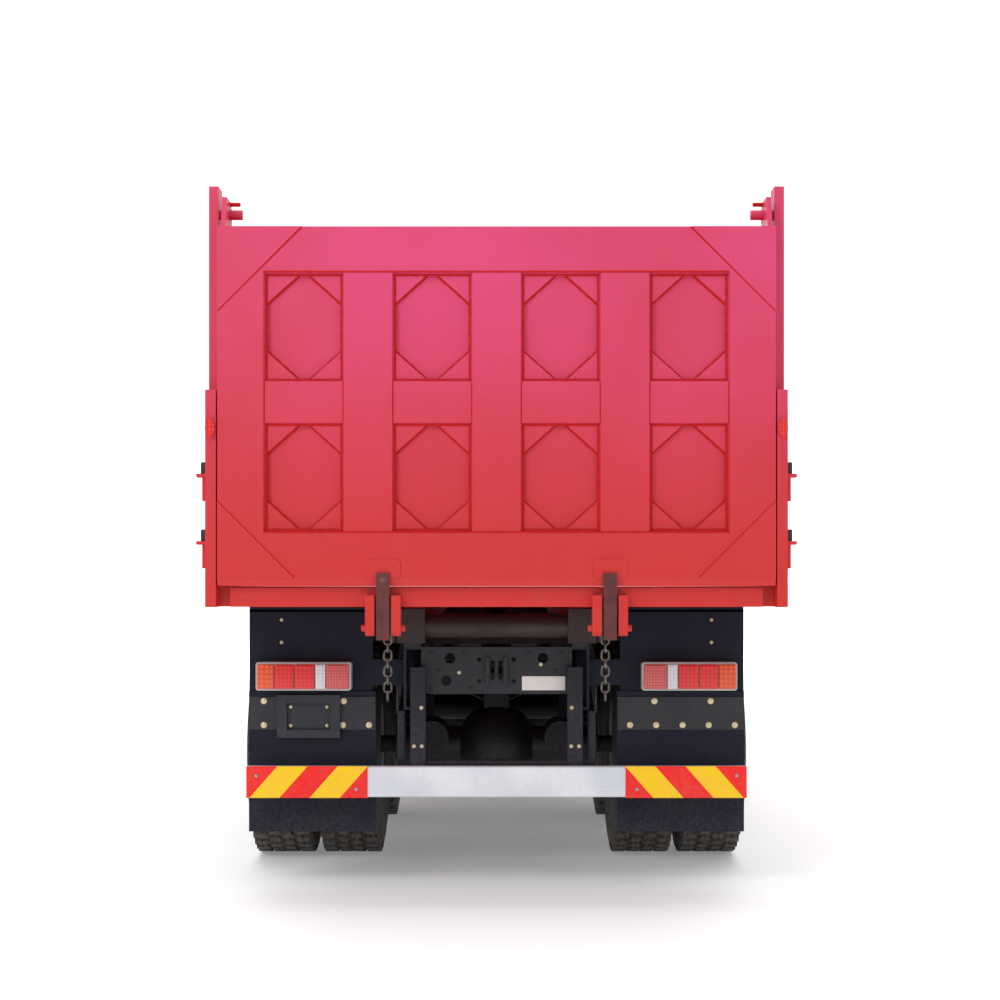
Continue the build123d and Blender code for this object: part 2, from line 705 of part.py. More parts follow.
def link_part(x, y, z, flat):
    """One chain link: a round bar swept round a slot-shaped path."""
    across = (1, 0, 0) if flat else (0, 1, 0)
    normal = (0, 1, 0) if flat else (-1, 0, 0)
    face = Plane(origin=(x, y, z), x_dir=across, z_dir=normal)
    with BuildPart() as link:
        with BuildSketch(face):
            SlotOverall(link_long + link_wire, link_wide + link_wire, rotation=90)
            SlotOverall(link_long - link_wire, link_wide - link_wire, rotation=90, mode=Mode.SUBTRACT)
        extrude(amount=link_wire / 2, both=True)
    return link.part


with BuildPart() as chains:
    for sign in SIDES.values():
        hanger = (sign * chain_x - 10, sign * chain_x + 10)
        slab(hanger, (chain_y - 22, chain_y + 22), (chain_top_z, sill_bottom))
        for index in range(link_count):
            z = chain_top_z - link_long / 2 - index * link_pitch + 12
            add(link_part(sign * chain_x, chain_y, z, index % 2 == 0))
save(chains, "lock_chains")

# Bed sides: plate with ribs, top and bottom rails, tall tail post with the gate's hinge pin
rib_count = 8
rib_width = 90
rail_height = 110
hook_z = (1885, 1595)
side_lamp_z = 2087
hook_reach = 46
with BuildPart() as bed_sides:
    inner, outer = bed_half_inner, bed_half_width
    slab((inner, inner + wall_plate), (y_bed_tail, y_headboard), (sill_bottom, bed_wall_top))
    slab((inner, outer - 20), (y_bed_tail, y_headboard), (bed_wall_top - rail_height, bed_wall_top))
    slab((inner, outer - 20), (y_bed_tail, y_headboard), (sill_bottom, sill_bottom + rail_height))
    rib_pitch = (bed_inner_length - 500) / (rib_count - 1)
    for index in range(rib_count):
        y = y_bed_tail + 250 + index * rib_pitch
        with BuildSketch(Plane.XY.offset(sill_bottom)):
            with BuildLine():
                Polyline(
                    (inner, y - rib_width),
                    (outer - 25, y - rib_width / 2),
                    (outer - 25, y + rib_width / 2),
                    (inner, y + rib_width),
                    close=True,
                )
            make_face()
        extrude(amount=bed_wall_top - sill_bottom)
    post_inner = outer - post_width
    slab((inner, outer), (y_bed_tail, y_bed_tail + post_depth), (sill_bottom, bed_wall_top))
    slab((post_inner, outer), (y_bed_tail, y_bed_tail + post_depth), (bed_wall_top - 1, post_top))
    rod(gate_pin_r, (inner - 40, gate_axis_y, gate_axis_z), post_inner - inner + 41)
    slab((gate_half_width + gate_gap, outer), (y_gate_back, y_bed_tail + 1), (sill_bottom, side_lamp_z + 166))
    for z in hook_z:
        slab((outer - 30, outer - 4 + hook_reach), (y_gate_back + 20, y_gate_back + 80), (z - 8, z + 8))
        rod(11, (outer + 10, y_gate_back + 50, z - 110), 160, "Z")
    mirror(about=Plane.YZ)
save(bed_sides, "bed_sides")

# Headboard with ribs and the guard that reaches over the cab
guard_reach = 760
guard_z = (post_top - guard_depth, post_top)
with BuildPart() as headboard:
    slab((-bed_half_width, bed_half_width), (y_headboard, y_headboard + wall_plate), (sill_bottom, post_top))
    for x in (-900, -450, 0, 450, 900):
        slab((x - 45, x + 45), (y_headboard, y_headboard + 70), (sill_bottom, post_top))
    guard_back = y_headboard
    with BuildSketch(Plane.YZ.offset(-bed_half_width)):
        with BuildLine():
            Polyline(
                (guard_back, guard_z[0]),
                (guard_back, guard_z[1]),
                (guard_back + guard_reach, guard_z[1]),
                (guard_back + guard_reach, guard_z[1] - 16),
                (guard_back + 160, guard_z[0]),
                close=True,
            )
        make_face()
    extrude(amount=2 * bed_half_width)
save(headboard, "bed_headboard")

side_lamp_reach = 18
with BuildPart() as side_lamps:
    with BuildSketch(Plane.XZ.offset(-y_gate_back)):
        with Locations((bed_half_width - 22, side_lamp_z)):
            Ellipse(20, 42)
    extrude(amount=side_lamp_reach)
    mirror(about=Plane.YZ)
save(side_lamps, "side_lamps")

# Tailgate: framed panel, four bays by two with a hexagon of cut corners in each bay
gate_frame_x = 1000
gate_rail_top = bed_wall_top - 195
gate_rail_bottom = gate_bottom + 230
bay_count = 4
bay_width = 345
mid_rail_half = 86
hex_flat = 28
hex_shoulder = 0.3
hex_step = 20
bay_draft = 20
column_recess = 8
gusset_leg = 362
gusset_step = 5
pad_size = (150, 81)
pad_round = 22
lip_height = 32
lip_depth = 10
with BuildPart() as tailgate:
    rear = Plane.XZ.offset(-y_gate_back)
    with BuildSketch(Plane.XZ.offset(-y_gate_front)):
        with Locations((0, (gate_bottom + bed_wall_top) / 2)):
            Rectangle(2 * gate_half_width, bed_wall_top - gate_bottom)
    extrude(amount=gate_thick)
    bay_pitch = (2 * gate_frame_x - bay_width) / (bay_count - 1)
    mid_z = (gate_rail_top + gate_rail_bottom) / 2
    bay_height = (gate_rail_top - gate_rail_bottom) / 2 - mid_rail_half
    bay_places = [
        (-gate_frame_x + bay_width / 2 + column * bay_pitch, mid_z + row * (mid_rail_half + bay_height / 2))
        for column in range(bay_count)
        for row in (-1, 1)
    ]
    column_places = [place for place in bay_places if place[1] > mid_z]
    with BuildSketch(rear):
        for column_x, _ in column_places:
            with Locations((column_x, mid_z)):
                Rectangle(bay_width, gate_rail_top - gate_rail_bottom)
    extrude(amount=-column_recess, mode=Mode.SUBTRACT)
    with BuildSketch(rear):
        with Locations(*bay_places):
            Rectangle(bay_width, bay_height)
    extrude(amount=-gate_recess, taper=bay_draft, mode=Mode.SUBTRACT)
    with BuildSketch(rear.offset(-gate_recess)):
        for bay_x, bay_z in bay_places:
            for turn_x, turn_z in ((-1, -1), (1, -1), (1, 1), (-1, 1)):
                corner = (bay_x + turn_x * bay_width / 2, bay_z + turn_z * bay_height / 2)
                with BuildLine():
                    Polyline(
                        corner,
                        (corner[0] - turn_x * (bay_width - hex_flat) / 2, corner[1]),
                        (corner[0], corner[1] - turn_z * bay_height * hex_shoulder),
                        close=True,
                    )
                make_face()
    extrude(amount=hex_step)
    with BuildSketch(rear):
        for turn_x, corner_z in ((-1, gate_bottom), (1, gate_bottom), (1, bed_wall_top), (-1, bed_wall_top)):
            turn_z = 1 if corner_z == bed_wall_top else -1
            with BuildLine():
                Polyline(
                    (turn_x * gate_half_width, corner_z),
                    (turn_x * (gate_half_width - gusset_leg), corner_z),
                    (turn_x * gate_half_width, corner_z - turn_z * gusset_leg),
                    close=True,
                )
            make_face()
    extrude(amount=gusset_step)
    with BuildSketch(Plane.YZ.offset(-gate_half_width)):
        with BuildLine():
            Polyline(
                (y_gate_back - gusset_step, gate_bottom),
                (y_gate_back - gusset_step, gate_bottom + lip_height),
                (y_gate_back, gate_bottom + lip_height),
                (y_gate_back + lip_depth, gate_bottom),
                close=True,
            )
        make_face()
    extrude(amount=2 * gate_half_width, mode=Mode.SUBTRACT)
    with BuildSketch(rear):
        for sign in SIDES.values():
            with Locations((sign * tongue_x, gate_bottom + lip_height + pad_size[1] / 2)):
                RectangleRounded(*pad_size, pad_round)
    extrude(amount=gusset_step)
    for sign in SIDES.values():
        arm_x = sign * (bed_half_inner + 25)
        with BuildSketch(Plane.YZ.offset(arm_x - 10)):
            with Locations((gate_axis_y, gate_axis_z)):
                Circle(60)
            with BuildLine():
                Polyline(
                    (y_gate_back + 10, bed_wall_top - 5),
                    (y_gate_front - 30, bed_wall_top - 5),
                    (y_gate_front - 10, bed_wall_top + 12),
                    (gate_axis_y, gate_axis_z - 60),
                    (gate_axis_y, gate_axis_z + 60),
                    (y_gate_front - 40, gate_axis_z + 60),
                    close=True,
                )
            make_face()
            with Locations((gate_axis_y, gate_axis_z)):
                Circle(gate_pin_r + spindle_clear, mode=Mode.SUBTRACT)
        extrude(amount=20)
save(tailgate, "tailgate")

with BuildPart() as tongues:
    for sign in SIDES.values():
        across = (sign * tongue_x - tongue_half, sign * tongue_x + tongue_half)
        slab(across, (y_tail, y_gate_back - gusset_step), tongue_z)
        slab(across, (y_tail, y_tail + tongue_depth), (tongue_z[0], sill_bottom))
save(tongues, "gate_tongues")

# Hoist cylinder, drawn along its own line from the base pin to the rod's eye
hoist_line = (hoist_eye[0] - hoist_base[0], hoist_eye[1] - hoist_base[1])
hoist_length = hypot(*hoist_line)
hoist_plane = Plane(origin=(0, *hoist_base), x_dir=(1, 0, 0), z_dir=(0, *hoist_line))
hoist_eye_r = 48
hoist_eye_half = 45
barrel_from = hoist_pin_r + 14
barrel_length = hoist_length - 190
barrel_end_wall = 40


def eye_part(y, z, bore_r):
    """A cross eye: a short tube along X round a pin."""
    with BuildPart() as eye:
        rod(hoist_eye_r, (-hoist_eye_half, y, z), 2 * hoist_eye_half)
        rod(bore_r, (-hoist_eye_half, y, z), 2 * hoist_eye_half, mode=Mode.SUBTRACT)
    return eye.part


with BuildPart() as hoist_barrel:
    with BuildSketch(hoist_plane.offset(barrel_from)):
        Circle(hoist_barrel_r)
    extrude(amount=barrel_length - barrel_from)
    with BuildSketch(hoist_plane.offset(barrel_from + barrel_end_wall)):
        Circle(hoist_rod_r + shaft_clear)
    extrude(amount=barrel_length, mode=Mode.SUBTRACT)
    rod(hoist_pin_r + shaft_clear, (-hoist_barrel_r, *hoist_base), 2 * hoist_barrel_r, mode=Mode.SUBTRACT)
    add(eye_part(*hoist_base, hoist_pin_r + shaft_clear))
save(hoist_barrel, "hoist_barrel")

with BuildPart() as hoist_rod:
    with BuildSketch(hoist_plane.offset(barrel_from + barrel_end_wall + 8)):
        Circle(hoist_rod_r)
    extrude(amount=hoist_length - barrel_from - barrel_end_wall - 8 - hoist_pin_r)
    add(eye_part(*hoist_eye, hoist_pin_r))
    rod(hoist_pin_r, (-hoist_eye_half, *hoist_eye), 2 * hoist_eye_half)
save(hoist_rod, "hoist_rod")

# Ears under the floor on both sides of the rod's eye
hoist_ear_x = hoist_eye_half + 14
with BuildPart() as hoist_ears:
    for sign in SIDES.values():
        ear_plane = Plane.YZ.offset(sign * hoist_ear_x - (0 if sign > 0 else 24))
        with BuildSketch(ear_plane):
            with BuildLine():
                Polyline(
                    (hoist_eye[0] - 120, floor_top - floor_plate),
                    (hoist_eye[0] + 120, floor_top - floor_plate),
                    (hoist_eye[0] + 50, hoist_eye[1] - 50),
                    (hoist_eye[0] - 50, hoist_eye[1] - 50),
                    close=True,
                )
            make_face()
        extrude(amount=24)
save(hoist_ears, "hoist_ears")


# Cab: one hollow form, inset evenly, from which every panel and pane is cut
def cab_form(inset):
    """The cab's outer form moved in by inset: side profile crossed with a rounded plan."""
    profile = [
        (cab_back_y, cab_floor_z),
        (cab_back_y, cab_roof_z - 60),
        (cab_back_y + 140, cab_roof_z),
        (cab_front_y - 560, cab_roof_z),
        (cab_front_y - 240, cab_roof_z - 170),
        (cab_front_y, cab_floor_z + 700),
        (cab_front_y, cab_floor_z),
    ]
    with BuildPart() as form:
        with BuildSketch(Plane.YZ.offset(-cab_half_width + inset)):
            with BuildLine():
                Polyline(*profile, close=True)
            make_face()
            offset(amount=-inset, kind=Kind.INTERSECTION, mode=Mode.REPLACE)
        extrude(amount=2 * (cab_half_width - inset))
        with BuildSketch(Plane.XY.offset(cab_floor_z)):
            with Locations((0, (cab_back_y + cab_front_y) / 2)):
                plan_length = cab_front_y - cab_back_y
                RectangleRounded(2 * (cab_half_width - inset), plan_length - 2 * inset, cab_corner_r - inset)
        extrude(amount=cab_roof_z - cab_floor_z, mode=Mode.INTERSECT)
    return form.part


far = overall_length
cab_shell = cab_form(0.001) - cab_form(cab_wall)
glass_layer = cab_form(glass_inset) - cab_form(glass_inset + glass_thick)
floor_split_z = cab_floor_z + cab_wall
roof_split_z = cab_roof_z - 180
front_split_y = cab_front_y - 250
back_split_y = cab_back_y + cab_wall + 40
windscreen_box = ((-1060, 1060), (front_split_y - 100, far), (cab_floor_z + 770, roof_split_z - 60))
rear_window_box = ((-640, 640), (-far, back_split_y), (cab_floor_z + 830, roof_split_z - 180))
door_window_y = (door_back_y + 90, door_front_y - 120)
door_window_z = (cab_floor_z + 760, door_top_z - 90)
between_z = (floor_split_z, roof_split_z)
door_inner_x = cab_half_width - cab_wall - 1
hinge_r = 7
hinge_height = 90
knuckle_height = 28
hinge_leaf = 44
leaf_half = 5
door_axis = (cab_half_width + 12, door_front_y - 10)
hinge_z = (door_bottom_z + 200, door_bottom_z + 580)
# Panel name, then its limits on X, Y and Z
CAB_PANELS = {
    "cab_floor": ((-far, far), (-far, far), (0, floor_split_z)),
    "cab_roof": ((-far, far), (-far, far), (roof_split_z, far)),
    "cab_front": ((-far, far), (front_split_y, far), between_z),
    "cab_back": ((-far, far), (-far, back_split_y), between_z),
    "cab_sides": ((-far, far), (back_split_y, front_split_y), between_z),
}
for name, limits in CAB_PANELS.items():
    with BuildPart() as panel:
        add(cab_shell)
        slab(*limits, Mode.INTERSECT)
        slab(*windscreen_box, Mode.SUBTRACT)
        slab(*rear_window_box, Mode.SUBTRACT)
        for sign in SIDES.values():
            aperture = sorted((sign * door_inner_x, sign * far))
            slab(aperture, (door_back_y, door_front_y), (door_bottom_z, door_top_z), Mode.SUBTRACT)
        if name == "cab_floor":
            for y in (cab_back_y + 130, cab_front_y - 700):
                for sign in SIDES.values():
                    mount = sorted((sign * (rail_inner + 10), sign * (rail_outer - 10)))
                    slab(mount, (y - mount_half, y + mount_half), (frame_top, cab_floor_z + 1))
        if name == "cab_sides":
            for sign in SIDES.values():
                for z in hinge_z:
                    for knuckle_z in (z - seat_gap - knuckle_height, z + hinge_height + seat_gap):
                        height = (knuckle_z, knuckle_z + knuckle_height)
                        rod(hinge_r, (sign * door_axis[0], door_axis[1], knuckle_z), knuckle_height, "Z")
                        leaf = sorted((sign * (door_axis[0] - leaf_half), sign * (door_axis[0] + leaf_half)))
                        slab(leaf, (door_axis[1], door_front_y + hinge_leaf), height)
                        foot = sorted((sign * (cab_half_width - 1), sign * door_axis[0]))
                        slab(foot, (door_front_y + door_gap, door_front_y + hinge_leaf), height)
    save(panel, name)


def pane_part(limits):
    """One pane: the glass layer within a window's limits, short of its edges by the seat gap."""
    x, y, z = limits
    with BuildPart() as pane:
        add(glass_layer)
        slab((x[0] + seat_gap, x[1] - seat_gap), y, (z[0] + seat_gap, z[1] - seat_gap), Mode.INTERSECT)
    return pane.part


with BuildPart() as cab_glass:
    add(pane_part(windscreen_box))
    add(pane_part(rear_window_box))
save(cab_glass, "cab_glass")

for side, sign in SIDES.items():
    outside = sorted((sign * door_inner_x, sign * far))
    with BuildPart() as door:
        add(cab_shell)
        slab(outside, (door_back_y + door_gap, door_front_y - door_gap),
             (door_bottom_z + door_gap, door_top_z - door_gap), Mode.INTERSECT)
        slab(outside, door_window_y, door_window_z, Mode.SUBTRACT)
        for z in hinge_z:
            rod(hinge_r, (sign * door_axis[0], door_axis[1], z), hinge_height, "Z")
            leaf = sorted((sign * (cab_half_width - 1), sign * (door_axis[0] + leaf_half)))
            slab(leaf, (door_axis[1] - hinge_leaf, door_axis[1]), (z, z + hinge_height))
        handle_y = (door_back_y + 60, door_back_y + 240)
        handle_x = sorted((sign * (cab_half_width - 5), sign * (cab_half_width + 18)))
        slab(handle_x, handle_y, (door_window_z[0] - 120, door_window_z[0] - 85))
    save(door, f"door_{side}")
    with BuildPart() as door_glass:
        add(glass_layer)
        slab(outside, (door_window_y[0] + seat_gap, door_window_y[1] - seat_gap),
             (door_window_z[0] + seat_gap, door_window_z[1] - seat_gap), Mode.INTERSECT)
    save(door_glass, f"door_glass_{side}")

# Seats, dashboard and steering wheel, seen through the glass
seat_base_z = floor_split_z + 260
with BuildPart() as interior:
    for sign in SIDES.values():
        x = (sign * 560 - 260, sign * 560 + 260)
        slab((x[0] + 60, x[1] - 60), (door_back_y - 20, door_back_y + 380), (floor_split_z, seat_base_z + 1))
        slab(x, (door_back_y - 90, door_back_y + 440), (seat_base_z, seat_base_z + 140))
        slab(x, (door_back_y - 200, door_back_y - 60), (seat_base_z, seat_base_z + 760))
    dash_y = (front_split_y - 260, cab_front_y - cab_wall - 30)
    slab((-1100, 1100), dash_y, (cab_floor_z + 380, cab_floor_z + 640))
    slab((-1100, 1100), (dash_y[1] - 60, dash_y[1]), (floor_split_z, cab_floor_z + 381))
    wheel_plane = Plane(origin=(-560, dash_y[0] - 120, cab_floor_z + 700), z_dir=(0, -0.5, 0.87))
    with Locations(wheel_plane.location):
        Torus(215, 16)
        Cylinder(34, 330, align=(Align.CENTER, Align.CENTER, Align.MAX))
        Box(420, 34, 14)
save(interior, "cab_interior")

# Front bumper wraps round to the steps; lamps sit in its corners, the grille above it
bumper_z = (430, cab_floor_z - 20)
step_back_y = y_steer_axle + 700
with BuildPart() as bumper:
    with BuildSketch(Plane.XY.offset(bumper_z[0])):
        plan_mid = (y_front + step_back_y) / 2
        with Locations((0, plan_mid)):
            RectangleRounded(2 * cab_half_width, y_front - step_back_y, cab_corner_r)
        with Locations((0, step_back_y)):
            Rectangle(2 * (cab_half_width - bumper_depth), 2 * (y_front - step_back_y - bumper_depth),
                      mode=Mode.SUBTRACT)
    extrude(amount=bumper_z[1] - bumper_z[0])
    for z in (600, 900):
        for sign in SIDES.values():
            tread = sorted((sign * (cab_half_width - 170), sign * far))
            slab(tread, (step_back_y + 60, y_front - 380), (z, z + 190), Mode.SUBTRACT)
    for sign in SIDES.values():
        pocket = sorted((sign * 720, sign * 1120))
        slab(pocket, (y_front - 70, far + y_front), (640, 900), Mode.SUBTRACT)
    slab((-480, 480), (y_front - 60, far + y_front), (560, 760), Mode.SUBTRACT)
save(bumper, "front_bumper")

with BuildPart() as headlamps:
    for sign in SIDES.values():
        slab(sorted((sign * 722, sign * 1118)), (y_front - 70, y_front - 12), (642, 898))
save(headlamps, "headlamps")

grille_z = (cab_floor_z + 60, cab_floor_z + 560)
with BuildPart() as grille:
    for index in range(6):
        z = grille_z[0] + index * (grille_z[1] - grille_z[0] - 50) / 5
        slab((-880, 880), (cab_front_y, cab_front_y + 22), (z, z + 50))
    for x in (-880, -30, 820):
        slab((x, x + 60), (cab_front_y, cab_front_y + 14), grille_z)
save(grille, "grille")

# Mirrors on arms from the front corners of the roof
mirror_reach = 175
mirror_arm = 30
mirror_drop = 560
mirror_size = (200, 400)
mirror_depth = 90
with BuildPart() as mirrors:
    arm_z = roof_split_z - 2 * mirror_arm
    arm_y = (front_split_y + 2 * mirror_arm, front_split_y + 3 * mirror_arm)
    arm_end = cab_half_width + mirror_reach
    slab((cab_half_width - mirror_arm, arm_end), arm_y, (arm_z, arm_z + mirror_arm))
    post_x = arm_end - mirror_size[0] / 2 - mirror_arm / 2 + 20
    slab((post_x - mirror_arm / 2, post_x + mirror_arm / 2), arm_y, (arm_z - mirror_drop, arm_z + 1))
    with BuildSketch(Plane.XZ.offset(-arm_y[0] - 1)):
        with Locations((arm_end + 20 - mirror_size[0] / 2, arm_z - mirror_drop + 230)):
            RectangleRounded(*mirror_size, mirror_arm)
    extrude(amount=mirror_depth)
    add(cab_form(-seat_gap), mode=Mode.SUBTRACT)
    mirror(about=Plane.YZ)
save(mirrors, "mirrors")
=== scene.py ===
"""Looks of the tipper lorry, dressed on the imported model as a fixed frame.

Metres, in the frame of the solids: +Y forward, +X to the right, +Z up, origin on the ground.
"""
import math

import bmesh
import bpy
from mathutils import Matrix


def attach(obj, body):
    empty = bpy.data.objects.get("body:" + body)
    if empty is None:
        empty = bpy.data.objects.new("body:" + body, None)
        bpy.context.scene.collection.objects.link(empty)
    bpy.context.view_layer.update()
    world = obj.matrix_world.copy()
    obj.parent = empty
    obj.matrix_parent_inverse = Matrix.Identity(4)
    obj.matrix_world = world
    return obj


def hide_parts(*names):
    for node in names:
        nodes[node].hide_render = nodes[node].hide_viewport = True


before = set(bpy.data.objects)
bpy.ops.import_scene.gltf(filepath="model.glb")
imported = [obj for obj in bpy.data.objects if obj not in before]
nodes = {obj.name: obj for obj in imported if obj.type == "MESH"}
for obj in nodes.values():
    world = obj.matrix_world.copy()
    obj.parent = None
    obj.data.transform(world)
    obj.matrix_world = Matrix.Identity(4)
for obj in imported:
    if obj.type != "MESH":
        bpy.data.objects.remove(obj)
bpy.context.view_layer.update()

SIDES = {"left": -1, "right": 1}
QUARTER = math.pi / 2
FULL_TURN = 2 * math.pi
UP, FORWARD, BACKWARD = (0, 0, 1), (0, 1, 0), (0, -1, 0)


# Places shared with the solids, read from the frame to a hundredth of a millimetre
FRAME_DIGITS = 5


def face_at(name, axis, side):
    """Where a solid ends along an axis; side is min or max."""
    index = "XYZ".index(axis)
    return round(side(point.co[index] for point in nodes[name].data.vertices), FRAME_DIGITS)


def middle_of(name, axis):
    return (face_at(name, axis, min) + face_at(name, axis, max)) / 2


AXLE_Z = middle_of("steer_tyre_right", "Z")
STEER_Y = middle_of("knuckle_right", "Y")
MID_Y = middle_of("mid_rims_right", "Y")
TAIL_Y = middle_of("tail_rims_right", "Y")
STEER_X = middle_of("steer_tyre_right", "X")
TYRE_HALF = face_at("steer_tyre_right", "X", max) - STEER_X
TWIN_OUTER_X = face_at("mid_tyres_right", "X", max) - TYRE_HALF
TWIN_INNER_X = face_at("mid_tyres_right", "X", min) + TYRE_HALF
# The tail posts end flush with the gate's face
GATE_FACE_Y = face_at("bed_sides", "Y", min)
GATE_HALF = face_at("tailgate", "X", max)
GATE_BOTTOM_Z = face_at("tailgate", "Z", min)
# Top edge of the gate's frame, below the tips of its arms
GATE_TOP_Z = 2.953
FLAP_FACE_Y = face_at("mudflaps", "Y", min)
SKIRT_FACE_Y = face_at("rear_mudguards", "Y", min)
LAMP_FACE_Y = face_at("tail_lamps", "Y", min)
RAIL_FACE_Y = face_at("underrun_rail", "Y", min)
HANGER_FACE_Y = face_at("underrun_hangers", "Y", min)
# The tail plate closes the end of the frame
TAIL_PLATE_Y = face_at("ladder_frame", "Y", min)
CAB_SIDE_X = face_at("cab_roof", "X", max)
CAB_FRONT_Y = face_at("cab_front", "Y", max)
ROOF_Z = face_at("cab_roof", "Z", max)
HEADLAMP_FACE_Y = face_at("headlamps", "Y", max)
MIRROR_FACE_Y = face_at("mirrors", "Y", min)


# Shader groups
def new_group(name, inputs, outputs):
    """An empty shader group with named sockets; gives the tree and its two end nodes."""
    tree = bpy.data.node_groups.new(name, "ShaderNodeTree")
    for label, kind in inputs:
        tree.interface.new_socket(name=label, in_out="INPUT", socket_type=kind)
    for label, kind in outputs:
        tree.interface.new_socket(name=label, in_out="OUTPUT", socket_type=kind)
    return tree, tree.nodes.new("NodeGroupInput"), tree.nodes.new("NodeGroupOutput")


def ramp(tree, source, low, high):
    """A smooth step from 0 at low to 1 at high."""
    step = tree.nodes.new("ShaderNodeMapRange")
    step.interpolation_type = "SMOOTHSTEP"
    step.inputs["From Min"].default_value = low
    step.inputs["From Max"].default_value = high
    tree.links.new(source, step.inputs["Value"])
    return step.outputs["Result"]


def noise(tree, vector, scale, detail):
    """Noise on a vector; scale is a number or a socket."""
    texture = tree.nodes.new("ShaderNodeTexNoise")
    texture.inputs["Detail"].default_value = detail
    tree.links.new(vector, texture.inputs["Vector"])
    if isinstance(scale, (int, float)):
        texture.inputs["Scale"].default_value = scale
    else:
        tree.links.new(scale, texture.inputs["Scale"])
    return texture.outputs["Fac"]


def combine(tree, operation, first, second):
    """A maths node of two sockets, or of a socket and a number."""
    node = tree.nodes.new("ShaderNodeMath")
    node.operation = operation
    tree.links.new(first, node.inputs[0])
    if isinstance(second, (int, float)):
        node.inputs[1].default_value = second
    else:
        tree.links.new(second, node.inputs[1])
    return node.outputs["Value"]


def split_axes(tree, vector):
    """The X, Y and Z sockets of a vector."""
    split = tree.nodes.new("ShaderNodeSeparateXYZ")
    tree.links.new(vector, split.inputs["Vector"])
    return split.outputs


GRAIN_FINER = 28.0
FLECKS_FINER = 14.0


def uneven_coat_group():
    """Patchy tone at a chosen scale, and a fine grain for bump."""
    inputs = [("Vector", "NodeSocketVector"), ("Scale", "NodeSocketFloat")]
    outputs = [("Mask", "NodeSocketFloat"), ("Grain", "NodeSocketFloat")]
    tree, start, end = new_group("uneven_coat", inputs, outputs)
    patches = noise(tree, start.outputs["Vector"], start.outputs["Scale"], detail=6.0)
    finer = combine(tree, "MULTIPLY", start.outputs["Scale"], GRAIN_FINER)
    grain = noise(tree, start.outputs["Vector"], finer, detail=3.0)
    tree.links.new(ramp(tree, patches, low=0.34, high=0.70), end.inputs["Mask"])
    tree.links.new(grain, end.inputs["Grain"])
    return tree


def road_soil_group():
    """Dust and splash that thins out with height above the road."""
    inputs = [("Vector", "NodeSocketVector"), ("Top", "NodeSocketFloat"), ("Amount", "NodeSocketFloat")]
    tree, start, end = new_group("road_soil", inputs, [("Mask", "NodeSocketFloat")])
    above_road = split_axes(tree, start.outputs["Vector"])["Z"]
    height = combine(tree, "DIVIDE", above_road, start.outputs["Top"])
    spots = noise(tree, start.outputs["Vector"], scale=9.0, detail=8.0)
    speckle = noise(tree, start.outputs["Vector"], scale=70.0, detail=4.0)
    shifted = combine(tree, "ADD", height, combine(tree, "SUBTRACT", spots, 0.5))
    falling = ramp(tree, shifted, low=1.0, high=0.1)
    dotted = combine(tree, "MULTIPLY", falling, ramp(tree, speckle, low=0.30, high=0.62))
    tree.links.new(combine(tree, "MULTIPLY", dotted, start.outputs["Amount"]), end.inputs["Mask"])
    return tree


def chipped_group():
    """Small chips and scratches where paint has come off."""
    inputs = [("Vector", "NodeSocketVector"), ("Scale", "NodeSocketFloat"), ("Amount", "NodeSocketFloat")]
    tree, start, end = new_group("chipped", inputs, [("Mask", "NodeSocketFloat")])
    patches = noise(tree, start.outputs["Vector"], start.outputs["Scale"], detail=5.0)
    finer = combine(tree, "MULTIPLY", start.outputs["Scale"], FLECKS_FINER)
    flecks = noise(tree, start.outputs["Vector"], finer, detail=9.0)
    chips = combine(tree, "MULTIPLY", ramp(tree, patches, low=0.58, high=0.74),
                    ramp(tree, flecks, low=0.60, high=0.66))
    tree.links.new(combine(tree, "MULTIPLY", chips, start.outputs["Amount"]), end.inputs["Mask"])
    return tree


UNEVEN_COAT = uneven_coat_group()
ROAD_SOIL = road_soil_group()
CHIPPED = chipped_group()


def place_group(tree, group, vector, **values):
    """Places a shader group in a material, on a vector, with its own values."""
    node = tree.nodes.new("ShaderNodeGroup")
    node.node_tree = group
    tree.links.new(vector, node.inputs["Vector"])
    for label, value in values.items():
        node.inputs[label].default_value = value
    return node


def mix_colour(tree, mask, first, second):
    """Mixes two colours, each a socket or four numbers, by a mask."""
    node = tree.nodes.new("ShaderNodeMix")
    node.data_type = "RGBA"
    tree.links.new(mask, node.inputs[0])
    for socket, colour in ((node.inputs[6], first), (node.inputs[7], second)):
        if isinstance(colour, tuple):
            socket.default_value = colour
        else:
            tree.links.new(colour, socket)
    return node.outputs[2]


def opaque(red, green, blue):
    return (red, green, blue, 1.0)


def new_material(name):
    """A material with its tree, its shader and its object coordinates."""
    material = bpy.data.materials.new(name)
    material.use_nodes = True
    tree = material.node_tree
    coordinates = tree.nodes.new("ShaderNodeTexCoord").outputs["Object"]
    return material, tree, tree.nodes["Principled BSDF"], coordinates


def add_bump(tree, shader, height, strength, distance):
    bump = tree.nodes.new("ShaderNodeBump")
    bump.inputs["Strength"].default_value = strength
    bump.inputs["Distance"].default_value = distance
    tree.links.new(height, bump.inputs["Height"])
    tree.links.new(bump.outputs["Normal"], shader.inputs["Normal"])


def spread(tree, source, low, high):
    """Maps a 0 to 1 mask on to a range of values."""
    node = tree.nodes.new("ShaderNodeMapRange")
    node.inputs["To Min"].default_value = low
    node.inputs["To Max"].default_value = high
    tree.links.new(source, node.inputs["Value"])
    return node.outputs["Result"]


ROAD_DUST = opaque(0.30, 0.26, 0.22)
BARE_UNDER = opaque(0.10, 0.07, 0.06)
GRAIN_DEPTH = 0.002
CHIP_SCALE = 2.4
SHADE_SHARE = 0.5
DUST_DULLING = 0.4
COAT_ROUGHNESS = 0.12
# Heights between which the bed's red turns to a painted sky reflection, pinker and paler towards the top
SKY_SHEEN_Z = (1.3, 3.0)


